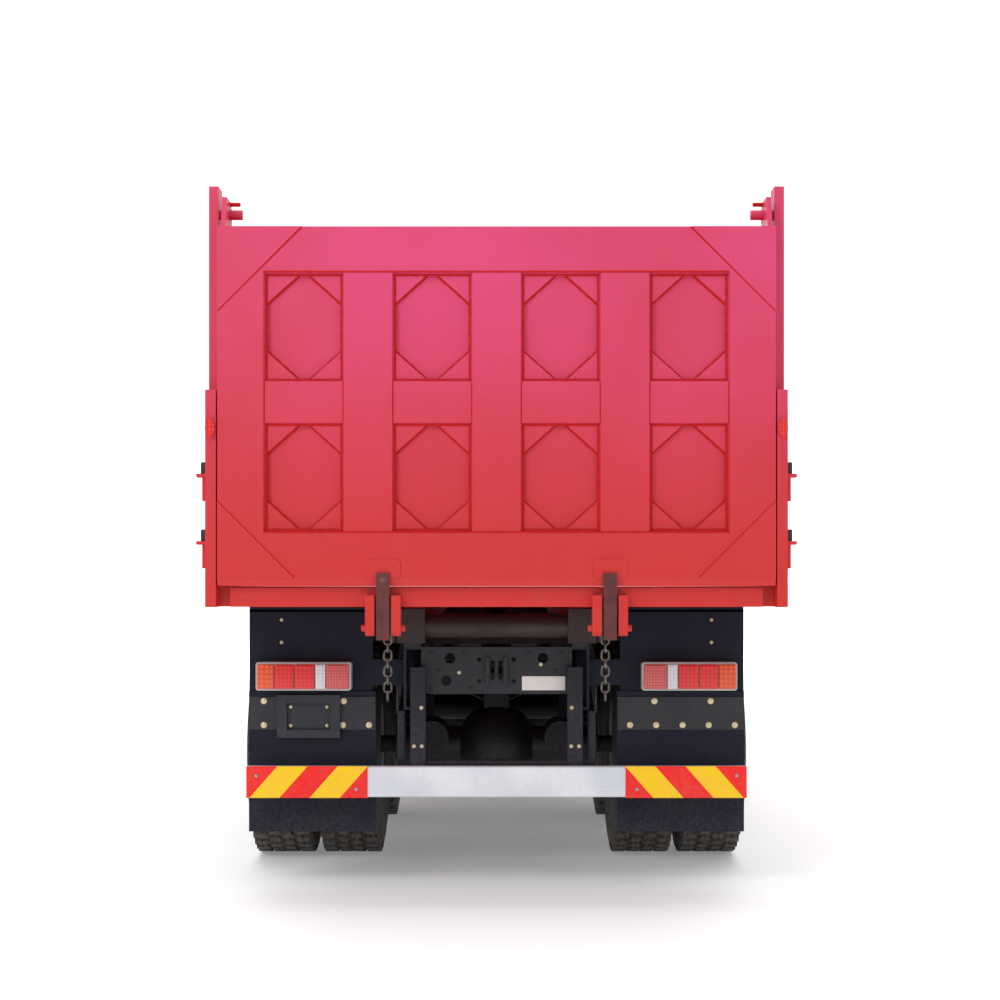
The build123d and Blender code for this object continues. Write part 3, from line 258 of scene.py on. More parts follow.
def coated(name, tone, shade, scale, rough, soil_top, soil, bump, metallic=0.0, coat=0.0, chip=0.0,
           under=BARE_UNDER, painted_sky_sheen=None, sheen=0.5):
    """A painted, cast or moulded finish: patchy tone, chips, road soil, uneven gloss and grain, and, when
    given, a painted sky reflection that turns the colour pinker with height.
    """
    material, tree, shader, coordinates = new_material(name)
    uneven = place_group(tree, UNEVEN_COAT, coordinates, Scale=scale)
    base = tone
    # Painted sky reflection: the colour fades to a pale pink with height
    if painted_sky_sheen:
        height = split_axes(tree, coordinates)["Z"]
        base = mix_colour(tree, ramp(tree, height, *SKY_SHEEN_Z), tone, painted_sky_sheen)
    patches = combine(tree, "MULTIPLY", uneven.outputs["Mask"], SHADE_SHARE)
    toned = mix_colour(tree, patches, base, shade)
    if chip:
        chips = place_group(tree, CHIPPED, coordinates, Scale=CHIP_SCALE, Amount=chip)
        toned = mix_colour(tree, chips.outputs["Mask"], toned, under)
    dust = place_group(tree, ROAD_SOIL, coordinates, Top=soil_top, Amount=soil).outputs["Mask"]
    tree.links.new(mix_colour(tree, dust, toned, ROAD_DUST), shader.inputs["Base Color"])
    gloss = spread(tree, uneven.outputs["Mask"], *rough)
    dulled = combine(tree, "ADD", gloss, combine(tree, "MULTIPLY", dust, DUST_DULLING))
    tree.links.new(dulled, shader.inputs["Roughness"])
    shader.inputs["Metallic"].default_value = metallic
    shader.inputs["Specular IOR Level"].default_value = sheen
    shader.inputs["Coat Weight"].default_value = coat
    shader.inputs["Coat Roughness"].default_value = COAT_ROUGHNESS
    add_bump(tree, shader, uneven.outputs["Grain"], strength=bump, distance=GRAIN_DEPTH)
    return material


LENS_PATCHES = 40.0
RIB_DEPTH = 0.004


def lens(name, tone, shade, ribs):
    """A moulded lamp lens: small square ribs under a clear gloss."""
    material, tree, shader, coordinates = new_material(name)
    uneven = place_group(tree, UNEVEN_COAT, coordinates, Scale=LENS_PATCHES)
    axes = split_axes(tree, coordinates)
    across, upright = [
        combine(tree, "PINGPONG", combine(tree, "MULTIPLY", axes[axis], ribs), 1.0) for axis in ("X", "Z")
    ]
    pattern = combine(tree, "MULTIPLY", across, upright)
    tree.links.new(mix_colour(tree, pattern, tone, shade), shader.inputs["Base Color"])
    tree.links.new(spread(tree, uneven.outputs["Mask"], low=0.08, high=0.22), shader.inputs["Roughness"])
    shader.inputs["Coat Weight"].default_value = 0.4
    shader.inputs["Specular IOR Level"].default_value = 0.35
    add_bump(tree, shader, pattern, strength=0.35, distance=RIB_DEPTH)
    return material


GLASS_TONE = opaque(0.30, 0.36, 0.37)
GLASS_SMEAR = opaque(0.36, 0.42, 0.42)


def tinted_glass(name):
    material, tree, shader, coordinates = new_material(name)
    smear = place_group(tree, UNEVEN_COAT, coordinates, Scale=1.8).outputs["Mask"]
    tree.links.new(spread(tree, smear, low=0.02, high=0.10), shader.inputs["Roughness"])
    tree.links.new(mix_colour(tree, smear, GLASS_TONE, GLASS_SMEAR), shader.inputs["Base Color"])
    shader.inputs["Transmission Weight"].default_value = 0.85
    shader.inputs["IOR"].default_value = 1.45
    return material


RAIL_WHITE = opaque(0.78, 0.80, 0.84)
RAIL_GREY = opaque(0.62, 0.65, 0.70)
STRIPE_YELLOW = opaque(0.95, 0.58, 0.004)
STRIPE_RED = opaque(0.86, 0.014, 0.010)
BOARD_FROM_X = 0.588
BOARD_THICK = 0.0105
STRIPE_PITCH = 0.275
STRIPE_LEAN = 0.89
STRIPE_START = 0.005


def warning_rail(name):
    """White rail whose end boards carry slanting red and yellow stripes, mirrored left to right."""
    material, tree, shader, coordinates = new_material(name)
    axes = split_axes(tree, coordinates)
    outward = combine(tree, "ABSOLUTE", axes["X"], 0.0)
    slant = combine(tree, "ADD", outward, combine(tree, "MULTIPLY", axes["Z"], STRIPE_LEAN))
    turns = combine(tree, "DIVIDE", combine(tree, "SUBTRACT", slant, STRIPE_START), STRIPE_PITCH)
    stripe = combine(tree, "GREATER_THAN", combine(tree, "FRACT", turns, 0.0), 0.5)
    boards = mix_colour(tree, stripe, STRIPE_YELLOW, STRIPE_RED)
    at_board = combine(tree, "GREATER_THAN", outward, BOARD_FROM_X)
    at_back = combine(tree, "LESS_THAN", axes["Y"], RAIL_FACE_Y + BOARD_THICK)
    uneven = place_group(tree, UNEVEN_COAT, coordinates, Scale=3.0)
    bare = mix_colour(tree, uneven.outputs["Mask"], RAIL_WHITE, RAIL_GREY)
    painted = mix_colour(tree, combine(tree, "MULTIPLY", at_board, at_back), bare, boards)
    soil = place_group(tree, ROAD_SOIL, coordinates, Top=0.9, Amount=0.18)
    tree.links.new(mix_colour(tree, soil.outputs["Mask"], painted, ROAD_DUST), shader.inputs["Base Color"])
    tree.links.new(spread(tree, uneven.outputs["Mask"], low=0.28, high=0.42), shader.inputs["Roughness"])
    shader.inputs["Specular IOR Level"].default_value = 0.25
    add_bump(tree, shader, uneven.outputs["Grain"], strength=0.03, distance=GRAIN_DEPTH)
    return material


# Finishes: main tone, patchy shade, fineness of the patches, range of roughness, height and amount of soil
# Pale pink of a painted sky reflection on the bed's upper parts
SKY_SHEEN_PINK = opaque(0.69, 0.060, 0.172)
BODY_RED = opaque(0.58, 0.024, 0.017)
DEEP_RED = opaque(0.53, 0.023, 0.022)
# The bed's red carries a painted sky reflection that turns it pinker towards the top
bed_red = coated(
    "bed_paint_and_painted_sky_sheen", BODY_RED, DEEP_RED, scale=1.1, rough=(0.36, 0.50), soil_top=1.7, soil=0.10,
    bump=0.05, chip=0.25, painted_sky_sheen=SKY_SHEEN_PINK, sheen=0.35)
cab_red = coated(
    "cab_red_paint", BODY_RED, DEEP_RED, scale=0.9, rough=(0.18, 0.28), soil_top=1.5, soil=0.12,
    bump=0.02, coat=0.7)
# Dark saturated red: partly the welds' own paint, partly painted shade for the shadowed edges and walls of
# the gate's bays
weld_and_shade_red = coated(
    "weld_paint_and_painted_shade", opaque(0.52, 0.006, 0.004), opaque(0.42, 0.004, 0.003), scale=30.0,
    rough=(0.42, 0.60), soil_top=1.0, soil=0.05, bump=0.30, sheen=0.2)
chassis_black = coated(
    "chassis_navy_black", opaque(0.008, 0.009, 0.014), opaque(0.015, 0.016, 0.024), scale=4.0,
    rough=(0.38, 0.62), soil_top=1.1, soil=0.08, bump=0.10, chip=0.2, sheen=0.3)
plate_grey = coated(
    "plate_dark_grey", opaque(0.020, 0.021, 0.026), opaque(0.032, 0.033, 0.039), scale=3.5,
    rough=(0.40, 0.60), soil_top=1.2, soil=0.07, bump=0.10, sheen=0.3)
flap_rubber = coated(
    "flap_rubber", opaque(0.007, 0.008, 0.018), opaque(0.012, 0.013, 0.028), scale=6.0,
    rough=(0.52, 0.72), soil_top=0.8, soil=0.06, bump=0.14, sheen=0.2)
tyre_rubber = coated(
    "tyre_rubber", opaque(0.010, 0.010, 0.011), opaque(0.022, 0.021, 0.020), scale=14.0,
    rough=(0.66, 0.86), soil_top=0.9, soil=0.28, bump=0.20)
rim_paint = coated(
    "rim_silver_paint", opaque(0.42, 0.43, 0.45), opaque(0.30, 0.30, 0.31), scale=6.0,
    rough=(0.32, 0.5), soil_top=1.2, soil=0.35, bump=0.08, metallic=0.5)
rust_steel = coated(
    "tongue_rust_steel", opaque(0.130, 0.030, 0.028), opaque(0.062, 0.018, 0.018), scale=16.0,
    rough=(0.45, 0.70), soil_top=1.0, soil=0.05, bump=0.22, metallic=0.35, chip=0.6,
    under=opaque(0.19, 0.12, 0.10))
chain_steel = coated(
    "chain_dark_steel", opaque(0.09, 0.085, 0.08), opaque(0.24, 0.22, 0.20), scale=40.0,
    rough=(0.14, 0.30), soil_top=1.0, soil=0.05, bump=0.20, metallic=1.0)
shaft_steel = coated(
    "shaft_brown_grey", opaque(0.034, 0.022, 0.019), opaque(0.020, 0.015, 0.014), scale=9.0,
    rough=(0.45, 0.65), soil_top=1.0, soil=0.05, bump=0.16, metallic=0.3)
engine_cast = coated(
    "engine_cast_grey", opaque(0.075, 0.078, 0.080), opaque(0.045, 0.045, 0.046), scale=8.0,
    rough=(0.50, 0.70), soil_top=1.2, soil=0.30, bump=0.25, metallic=0.2)
tank_metal = coated(
    "tank_brushed_metal", opaque(0.46, 0.47, 0.49), opaque(0.36, 0.37, 0.39), scale=5.0,
    rough=(0.26, 0.42), soil_top=1.1, soil=0.35, bump=0.06, metallic=0.85)
rod_chrome = coated(
    "hoist_rod_chrome", opaque(0.70, 0.70, 0.71), opaque(0.60, 0.60, 0.62), scale=9.0,
    rough=(0.06, 0.14), soil_top=0.5, soil=0.05, bump=0.01, metallic=1.0)
zinc = coated(
    "bolt_zinc", opaque(0.66, 0.55, 0.36), opaque(0.50, 0.43, 0.31), scale=60.0,
    rough=(0.25, 0.45), soil_top=1.0, soil=0.08, bump=0.06, metallic=0.55)
sticker_white = coated(
    "blank_sticker", opaque(0.78, 0.76, 0.72), opaque(0.66, 0.63, 0.58), scale=18.0,
    rough=(0.40, 0.55), soil_top=1.2, soil=0.12, bump=0.02)
trim_black = coated(
    "trim_grained_black", opaque(0.016, 0.016, 0.018), opaque(0.024, 0.024, 0.026), scale=7.0,
    rough=(0.48, 0.66), soil_top=1.4, soil=0.16, bump=0.22)
lamp_housing = coated(
    "lamp_housing_pale", opaque(0.50, 0.47, 0.45), opaque(0.36, 0.33, 0.32), scale=12.0,
    rough=(0.30, 0.45), soil_top=1.3, soil=0.12, bump=0.05)
lens_red = lens("lens_red", opaque(0.62, 0.012, 0.010), opaque(0.82, 0.05, 0.04), ribs=110.0)
lens_amber = lens("lens_amber_red", opaque(0.66, 0.06, 0.018), opaque(0.82, 0.16, 0.04), ribs=90.0)
lens_pink = lens("lens_reflector", opaque(0.52, 0.055, 0.055), opaque(0.72, 0.20, 0.20), ribs=150.0)
lens_white = lens("lens_white", opaque(0.60, 0.60, 0.62), opaque(0.80, 0.80, 0.82), ribs=120.0)
mirror_glass = coated(
    "mirror_silver", opaque(0.72, 0.74, 0.76), opaque(0.66, 0.68, 0.70), scale=3.0,
    rough=(0.02, 0.06), soil_top=0.5, soil=0.02, bump=0.0, metallic=1.0)
glass = tinted_glass("window_glass")
rail_paint = warning_rail("underrun_rail_paint")

NODE_FINISH = {
    "bed_floor": bed_red, "bed_headboard": bed_red, "bed_sides": bed_red, "tailgate": bed_red,
    "hoist_ears": bed_red, "cab_back": cab_red, "cab_floor": cab_red, "cab_front": cab_red,
    "cab_roof": cab_red, "cab_sides": cab_red, "door_left": cab_red, "door_right": cab_red,
    "cab_glass": glass, "door_glass_left": glass, "door_glass_right": glass,
    "cab_interior": trim_black, "front_bumper": trim_black, "grille": trim_black,
    "mirrors": trim_black, "front_mudguards": trim_black, "headlamps": lens_white,
    "side_lamps": lens_red, "tail_lamps": lamp_housing, "underrun_rail": rail_paint,
    "underrun_hangers": chassis_black, "tail_crossmember": plate_grey, "plate_holder": plate_grey,
    "ladder_frame": chassis_black, "subframe": shaft_steel, "tipping_shaft": shaft_steel,
    "drive_axles": chassis_black, "leaf_springs": chassis_black, "steer_axle": chassis_black,
    "knuckle_left": chassis_black, "knuckle_right": chassis_black, "propeller_shafts": chassis_black,
    "engine_block": engine_cast, "tanks_and_boxes": tank_metal, "rear_mudguards": flap_rubber,
    "mudflaps": flap_rubber, "gate_tongues": rust_steel, "hoist_barrel": chassis_black,
    "hoist_rod": rod_chrome,
}
for node_name, node in nodes.items():
    finish = rim_paint if "_rim" in node_name else NODE_FINISH.get(node_name)
    if finish:
        node.data.materials.clear()
        node.data.materials.append(finish)


# Modelling by hand
# Least cosine between a face's normal and the direction that it is picked by
SQUARE_ON = 0.9


def deselect_all():
    bpy.ops.object.select_all(action="DESELECT")


def only(piece):
    """Makes one piece the selected and active one."""
    deselect_all()
    piece.select_set(True)
    bpy.context.view_layer.objects.active = piece


def apply_place(piece):
    only(piece)
    bpy.ops.object.transform_apply(location=True, rotation=True, scale=True)


def start_block(size, place):
    """A block of a size at a place, ready to be shaped."""
    deselect_all()
    bpy.ops.mesh.primitive_cube_add(size=1, location=place)
    block = bpy.context.object
    block.scale = size
    apply_place(block)
    return block


def block_between(x_limits, y_limits, z_limits):
    """A block between two limits along each axis."""
    limits = (x_limits, y_limits, z_limits)
    size = [high - low for low, high in limits]
    return start_block(size, [(low + high) / 2 for low, high in limits])


def mirrored(sign, limits):
    """Limits across the lorry on the side that a sign gives, the low one first."""
    return sorted(sign * edge for edge in limits)


def start_drum(radius, length, place, axis, sides):
    """A drum along one axis, ready to be shaped."""
    deselect_all()
    turn = {"X": (0, QUARTER, 0), "Y": (QUARTER, 0, 0), "Z": (0, 0, 0)}[axis]
    bpy.ops.mesh.primitive_cylinder_add(
        vertices=sides, radius=radius, depth=length, location=place, rotation=turn)
    drum = bpy.context.object
    apply_place(drum)
    return drum


def edit(piece):
    only(piece)
    bpy.ops.object.mode_set(mode="EDIT")
    bpy.ops.mesh.select_mode(type="FACE")


def leave_edit():
    bpy.ops.object.mode_set(mode="OBJECT")


def pick_faces(piece, test):
    """In edit mode, selects the faces whose middle and normal pass the test."""
    bpy.ops.mesh.select_mode(type="FACE")
    bpy.ops.mesh.select_all(action="DESELECT")
    shape = bmesh.from_edit_mesh(piece.data)
    for face in shape.faces:
        face.select_set(test(face.calc_center_median(), face.normal))
    bmesh.update_edit_mesh(piece.data)


def pick_facing(piece, direction):
    """In edit mode, selects the faces that look along a direction."""
    pick_faces(piece, lambda middle, normal: normal.dot(direction) > SQUARE_ON)


def pick_edges(piece, test):
    """In edit mode, selects the edges whose two points pass the test."""
    bpy.ops.mesh.select_mode(type="EDGE")
    bpy.ops.mesh.select_all(action="DESELECT")
    shape = bmesh.from_edit_mesh(piece.data)
    for line in shape.edges:
        line.select_set(test(*[point.co for point in line.verts]))
    bmesh.update_edit_mesh(piece.data)


def pick_points(piece, test):
    """In edit mode, selects the points that pass the test."""
    bpy.ops.mesh.select_mode(type="VERT")
    bpy.ops.mesh.select_all(action="DESELECT")
    shape = bmesh.from_edit_mesh(piece.data)
    for point in shape.verts:
        point.select_set(test(point.co))
    shape.select_flush(True)
    bmesh.update_edit_mesh(piece.data)


def press_face(piece, direction, steps):
    """Insets the face that looks along a direction, by each pair of inset and rise in turn."""
    edit(piece)
    pick_facing(piece, direction)
    for inward, rise in steps:
        bpy.ops.mesh.inset(thickness=inward, depth=rise)
    leave_edit()


def push_out(shift):
    """In edit mode, extrudes what is selected by a shift."""
    bpy.ops.mesh.extrude_region_move(TRANSFORM_OT_translate={"value": shift})


def round_edges(piece, width, steps=2):
    """Bevels the sharp edges with an applied modifier."""
    only(piece)
    bevel = piece.modifiers.new("round", "BEVEL")
    bevel.width = width
    bevel.segments = steps
    bevel.limit_method = "ANGLE"
    bpy.ops.object.modifier_apply(modifier=bevel.name)


def smooth(piece, degrees=35):
    only(piece)
    bpy.ops.object.shade_smooth_by_angle(angle=math.radians(degrees))


def copy_to(piece, place, turn=(0, 0, 0)):
    """A copy with its own mesh, turned and put at a place."""
    twin = piece.copy()
    twin.data = piece.data.copy()
    bpy.context.collection.objects.link(twin)
    twin.location = place
    twin.rotation_euler = turn
    apply_place(twin)
    return twin


def lay_between(piece, start, end, y):
    """Turns a piece that lies along X at the origin, and lays it between two points at a depth."""
    piece.location = ((start[0] + end[0]) / 2, y, (start[1] + end[1]) / 2)
    piece.rotation_euler = (0, -math.atan2(end[1] - start[1], end[0] - start[0]), 0)
    apply_place(piece)


def join(parts):
    """Joins several pieces into the first."""
    only(parts[0])
    for part in parts[1:]:
        part.select_set(True)
    bpy.ops.object.join()
    return bpy.context.object


def discard(piece):
    only(piece)
    bpy.ops.object.delete()


def settle(piece, name, body, finish):
    """Names a finished piece and gives it its body and material."""
    apply_place(piece)
    piece.name = name
    piece.data.name = name
    piece.data.materials.clear()
    piece.data.materials.append(finish)
    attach(piece, body)


# Tyres: sidewalls inset from a drum, a bridged bore, rows of lugs
TREAD_BASE_R = 0.543
TREAD_WIDTH = 0.250
LUG_TOP_R = 0.559
LUG_SINK = 0.004
LUG_TAPER = (0.90, 0.78, 1)
TYRE_SEGMENTS = 72
LUGS_ROUND = 46
AXLE_REACH = 0.01
# Inset towards the axle and rise along it, from the tread's edge to the bead
SIDEWALL_STEPS = [
    (0.010, 0.014), (0.026, 0.014), (0.050, 0.004), (0.006, 0.003), (0.010, 0.0), (0.006, -0.003),
    (0.100, -0.002), (0.045, -0.012), (0.018, -0.009),
]
# Place across the tread, width, length round it and slant of each row of lugs
LUG_ROWS = [
    (-0.110, 0.070, 0.050, 0.10), (-0.034, 0.056, 0.052, 0.35),
    (0.034, 0.056, 0.052, -0.35), (0.110, 0.070, 0.050, -0.10),
]


def lug_row(across, width, length, slant, phase):
    """One lug, tapered and slanted, spun round the tyre."""
    height = LUG_TOP_R - TREAD_BASE_R + LUG_SINK
    lug = start_block((width, length, height), (across, 0, LUG_TOP_R - height / 2))
    edit(lug)
    pick_facing(lug, UP)
    bpy.ops.transform.resize(value=LUG_TAPER)
    bpy.ops.mesh.select_all(action="SELECT")
    bpy.ops.transform.rotate(value=slant, orient_axis="Z", center_override=(across, 0, 0))
    bpy.ops.transform.rotate(value=phase, orient_axis="X", center_override=(0, 0, 0))
    copies = LUGS_ROUND - 1
    bpy.ops.mesh.spin(
        steps=copies, dupli=True, angle=FULL_TURN * copies / LUGS_ROUND, center=(0, 0, 0), axis=(1, 0, 0))
    leave_edit()
    return lug


def at_axle(middle, normal):
    """Whether a face is one of the two ends left round the axle."""
    return abs(normal.x) > SQUARE_ON and math.hypot(middle.y, middle.z) < AXLE_REACH


def tread_tyre():
    """One tyre at the origin with its axle along X."""
    tyre = start_drum(TREAD_BASE_R, TREAD_WIDTH, (0, 0, 0), "X", TYRE_SEGMENTS)
    edit(tyre)
    for inward, rise in SIDEWALL_STEPS:
        pick_faces(tyre, at_axle)
        bpy.ops.mesh.inset(thickness=inward, depth=rise, use_individual=True)
    pick_faces(tyre, at_axle)
    bpy.ops.mesh.bridge_edge_loops()
    bpy.ops.mesh.select_all(action="SELECT")
    bpy.ops.mesh.normals_make_consistent(inside=False)
    leave_edit()
    smooth(tyre, degrees=40)
    rows = [lug_row(*row, index % 2 * math.pi / LUGS_ROUND) for index, row in enumerate(LUG_ROWS)]
    return join([tyre, *rows])


def fit_tyres():
    pattern = tread_tyre()
    for side, sign in SIDES.items():
        single = copy_to(pattern, (sign * STEER_X, STEER_Y, AXLE_Z))
        settle(single, f"tread_steer_{side}", f"steer_wheel_{side}", tyre_rubber)
        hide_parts(f"steer_tyre_{side}")
        for place, y in (("mid", MID_Y), ("tail", TAIL_Y)):
            pair = join([copy_to(pattern, (sign * x, y, AXLE_Z)) for x in (TWIN_OUTER_X, TWIN_INNER_X)])
            settle(pair, f"tread_{place}_{side}", f"{place}_wheels_{side}", tyre_rubber)
            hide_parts(f"{place}_tyres_{side}")
    discard(pattern)


# Gate: weld beads of the hexagons, the bays' walls, the panels between bays, the rails and the gussets
# The beads' dark red is partly painted shade along the bays' edges and walls
BAY_X = (-0.8275, -0.27583, 0.27583, 0.8275)
BAY_Z = (1.87725, 2.52175)
BAY_WIDTH = 0.345
BAY_HEIGHT = 0.4725
BAY_FLOOR_Y = -4.135
HEX_FLAT = 0.028
# Share of the bay's height that a corner plate takes
HEX_SHOULDER = 0.3
GUSSET_LEG = 0.362
GUSSET_TOP_GAP = 0.004
# How far the lower gusset's bead starts outward of its inner corner and above the gate's bottom
GUSSET_FOOT = (0.033, 0.034)
HEX_BEAD_R = 0.010
FACE_BEAD_R = 0.0045
WALL_BEAD_R = 0.008
PANEL_BEAD_R = 0.006
PANEL_Y = -4.172
# Where the drafted bay wall meets the face of the corner plates
PLATE_Y = -4.155
PLATE_INSET = 0.0091
RAIL_RUN_X = 1.000
BEAD_SIDES = 8
RIPPLE_PITCH = 0.024
RIPPLE_WAIST = 0.80


def weld_bead(start, end, y, radius):
    """A run of weld between two points on a face, rippled along its length."""
    length = math.dist(start, end)
    ripples = round(length / RIPPLE_PITCH)
    bead = start_drum(radius, length, (0, 0, 0), "X", BEAD_SIDES)
    edit(bead)
    for cut in range(1, ripples):
        bpy.ops.mesh.select_all(action="SELECT")
        bpy.ops.mesh.bisect(plane_co=(length * (cut / ripples - 0.5), 0, 0), plane_no=(1, 0, 0))
    pick_points(bead, lambda spot: round((spot.x / length + 0.5) * ripples) % 2 == 1)
    bpy.ops.transform.resize(value=(1, RIPPLE_WAIST, RIPPLE_WAIST), center_override=(0, 0, 0))
    leave_edit()
    lay_between(bead, start, end, y)
    return bead


def weld_bay(bay_x, bay_z):
    """Beads of one bay: its four corner plates, then its walls."""
    beads = []
    for turn_x in (-1, 1):
        for turn_z in (-1, 1):
            top = (bay_x + turn_x * HEX_FLAT / 2, bay_z + turn_z * BAY_HEIGHT / 2)
            shoulder_z = bay_z + turn_z * BAY_HEIGHT * (0.5 - HEX_SHOULDER)
            flank = (bay_x + turn_x * BAY_WIDTH / 2, shoulder_z)
            beads.append(weld_bead(top, flank, BAY_FLOOR_Y, HEX_BEAD_R))
    # Wall beads where the bays' walls meet their floors; their dark red partly stands in for the walls'
    # shade
    half = BAY_WIDTH / 2 - PLATE_INSET
    rise = BAY_HEIGHT / 2 - PLATE_INSET
    for turn in (-1, 1):
        side_x, end_z = bay_x + turn * half, bay_z + turn * rise
        beads.append(weld_bead((side_x, bay_z - rise), (side_x, bay_z + rise), PLATE_Y, WALL_BEAD_R))
        beads.append(weld_bead((bay_x - half, end_z), (bay_x + half, end_z), PLATE_Y, WALL_BEAD_R))
    return beads


def weld_gusset(sign):
    """Beads of the upper and the lower gusset on one side of the gate."""
    inner = sign * (GATE_HALF - GUSSET_LEG)
    foot_out, foot_up = GUSSET_FOOT
    upper = weld_bead((inner, GATE_TOP_Z - GUSSET_TOP_GAP), (sign * GATE_HALF, GATE_TOP_Z - GUSSET_LEG),
                      GATE_FACE_Y, FACE_BEAD_R)
    lower = weld_bead((inner + sign * foot_out, GATE_BOTTOM_Z + foot_up),
                      (sign * GATE_HALF, GATE_BOTTOM_Z + GUSSET_LEG), GATE_FACE_Y, FACE_BEAD_R)
    return [upper, lower]


def weld_gate():
    beads = []
    low_row, high_row = BAY_Z
    for bay_x in BAY_X:
        for bay_z in BAY_Z:
            beads += weld_bay(bay_x, bay_z)
        for turn in (-1, 1):
            edge_x = bay_x + turn * BAY_WIDTH / 2
            beads.append(weld_bead((edge_x, low_row + BAY_HEIGHT / 2), (edge_x, high_row - BAY_HEIGHT / 2),
                                   PANEL_Y, PANEL_BEAD_R))
    for run_z in (low_row - BAY_HEIGHT / 2, high_row + BAY_HEIGHT / 2):
        beads.append(weld_bead((-RAIL_RUN_X, run_z), (RAIL_RUN_X, run_z), GATE_FACE_Y, FACE_BEAD_R))
    for sign in SIDES.values():
        beads += weld_gusset(sign)
    welds = join(beads)
    smooth(welds)
    settle(welds, "gate_weld_beads", "gate", weld_and_shade_red)


# Tail lamps: inner edge, outer edge, name and finish of each cell
LAMP_CELLS = [
    (0.680, 0.784, "pink", lens_pink), (0.788, 0.834, "white", lens_white),
    (0.838, 0.930, "red", lens_red), (0.934, 1.022, "stop", lens_red),
    (1.026, 1.102, "amber", lens_amber),
]
LAMP_Z = (0.930, 1.042)
LENS_RISE = 0.012
LENS_CROWN = [(0.006, 0.003), (0.010, 0.0015)]
LENS_ROUND = 0.0018


def fit_tail_lamps():
    """Lens cells whose faces are inset and crowned."""
    for side, sign in SIDES.items():
        for inner, outer, tint, finish in LAMP_CELLS:
            depth = (LAMP_FACE_Y - LENS_RISE, LAMP_FACE_Y)
            cell = block_between(mirrored(sign, (inner, outer)), depth, LAMP_Z)
            press_face(cell, BACKWARD, LENS_CROWN)
            round_edges(cell, LENS_ROUND)
            smooth(cell)
            settle(cell, f"lamp_{tint}_{side}", "chassis", finish)


# Bolts of the flaps, the skirts, the warning boards and the plate holder, at x and z
FLAP_BOLTS = [
    (-0.709, 0.868), (-1.080, 0.868), (-0.592, 0.757), (-0.713, 0.757), (-1.080, 0.757), (0.733, 0.868),
    (0.994, 0.868), (0.620, 0.757), (0.741, 0.757), (0.864, 0.757), (0.985, 0.757), (1.106, 0.757),
]
SKIRT_BOLTS = [(-1.000, 1.245), (-1.000, 1.140), (1.000, 1.245), (1.000, 1.140)]
RAIL_RIVETS = [(0.640, 0.478), (1.095, 0.540)]
HOLDER_BOLT_X = (-0.955, -0.787)
HOLDER_BOLT_Z = (0.755, 0.842)
HOLDER_PANEL_THICK = 0.008
HOLDER_PANEL_Y = face_at("plate_holder", "Y", max) - HOLDER_PANEL_THICK
FLAP_HEAD_R = 0.0145
SMALL_HEAD_R = 0.008
HEAD_SIDES = 14
WASHER_THICK = 0.003
# Widths of the washer's rim and of the head's slope, as shares of the radius
WASHER_SHARE = 0.22
SLOPE_SHARE = 0.24
HEAD_RISE = 0.005
CROWN_RISE = 0.002
CLAMP_Z = (0.735, 0.888)
CLAMP_X = (0.562, 1.148)
CLAMP_THICK = 0.005
CLAMP_DISH = [(0.012, -0.0008)]
CLAMP_ROUND = 0.001


def round_head(radius):
    """A round bolt head with a washer, facing backwards at the origin."""
    head = start_drum(radius, WASHER_THICK, (0, -WASHER_THICK / 2, 0), "Y", HEAD_SIDES)
    edit(head)
    pick_facing(head, BACKWARD)
    bpy.ops.mesh.inset(thickness=radius * WASHER_SHARE, depth=0)
    push_out((0, -HEAD_RISE, 0))
    bpy.ops.mesh.inset(thickness=radius * SLOPE_SHARE, depth=CROWN_RISE)
    leave_edit()
    smooth(head, degrees=30)
    return head


def fit_bolts():
    head = round_head(FLAP_HEAD_R)
    small = round_head(SMALL_HEAD_R)
    flap_heads = [copy_to(head, (x, FLAP_FACE_Y - CLAMP_THICK, z)) for x, z in FLAP_BOLTS]
    flap_heads += [copy_to(small, (x, SKIRT_FACE_Y, z)) for x, z in SKIRT_BOLTS]
    settle(join(flap_heads), "flap_bolts", "chassis", zinc)
    rivets = [copy_to(small, (sign * x, RAIL_FACE_Y, z)) for sign in SIDES.values() for x, z in RAIL_RIVETS]
    settle(join(rivets), "board_rivets", "chassis", tank_metal)
    holder = [copy_to(small, (x, HOLDER_PANEL_Y, z)) for x in HOLDER_BOLT_X for z in HOLDER_BOLT_Z]
    settle(join(holder), "plate_bolts", "chassis", zinc)
    discard(head)
    discard(small)


def fit_clamp_plates():
    """Thin plates that clamp the top of each flap."""
    for side, sign in SIDES.items():
        plate = block_between(mirrored(sign, CLAMP_X), (FLAP_FACE_Y - CLAMP_THICK, FLAP_FACE_Y), CLAMP_Z)
        press_face(plate, BACKWARD, CLAMP_DISH)
        round_edges(plate, CLAMP_ROUND)
        settle(plate, f"flap_clamp_{side}", "chassis", plate_grey)


# Rubber edge on top of each skirt and the air pipe between the rail's hangers
EDGE_X = (0.575, 1.150)
EDGE_Z = (1.280, 1.309)
EDGE_THICK = 0.008
EDGE_ROUND = 0.002
PIPE_HALF = 0.326
PIPE_PLACE = (-3.622, 0.588)
PIPE_R = 0.016
PIPE_SIDES = 20
COLLAR_X = (-0.2, 0.0, 0.2)
COLLAR_RISE = 0.004
COLLAR_WIDE = 0.012


def fit_skirt_edges():
    for side, sign in SIDES.items():
        edge = block_between(mirrored(sign, EDGE_X), (SKIRT_FACE_Y, SKIRT_FACE_Y + EDGE_THICK), EDGE_Z)
        round_edges(edge, EDGE_ROUND)
        settle(edge, f"skirt_edge_{side}", "chassis", flap_rubber)


def fit_air_pipe():
    rings = [start_drum(PIPE_R, 2 * PIPE_HALF, (0, *PIPE_PLACE), "X", PIPE_SIDES)]
    for x in COLLAR_X:
        rings.append(start_drum(PIPE_R + COLLAR_RISE, COLLAR_WIDE, (x, *PIPE_PLACE), "X", PIPE_SIDES))
    pipe = join(rings)
    smooth(pipe)
    settle(pipe, "air_pipe", "chassis", chassis_black)


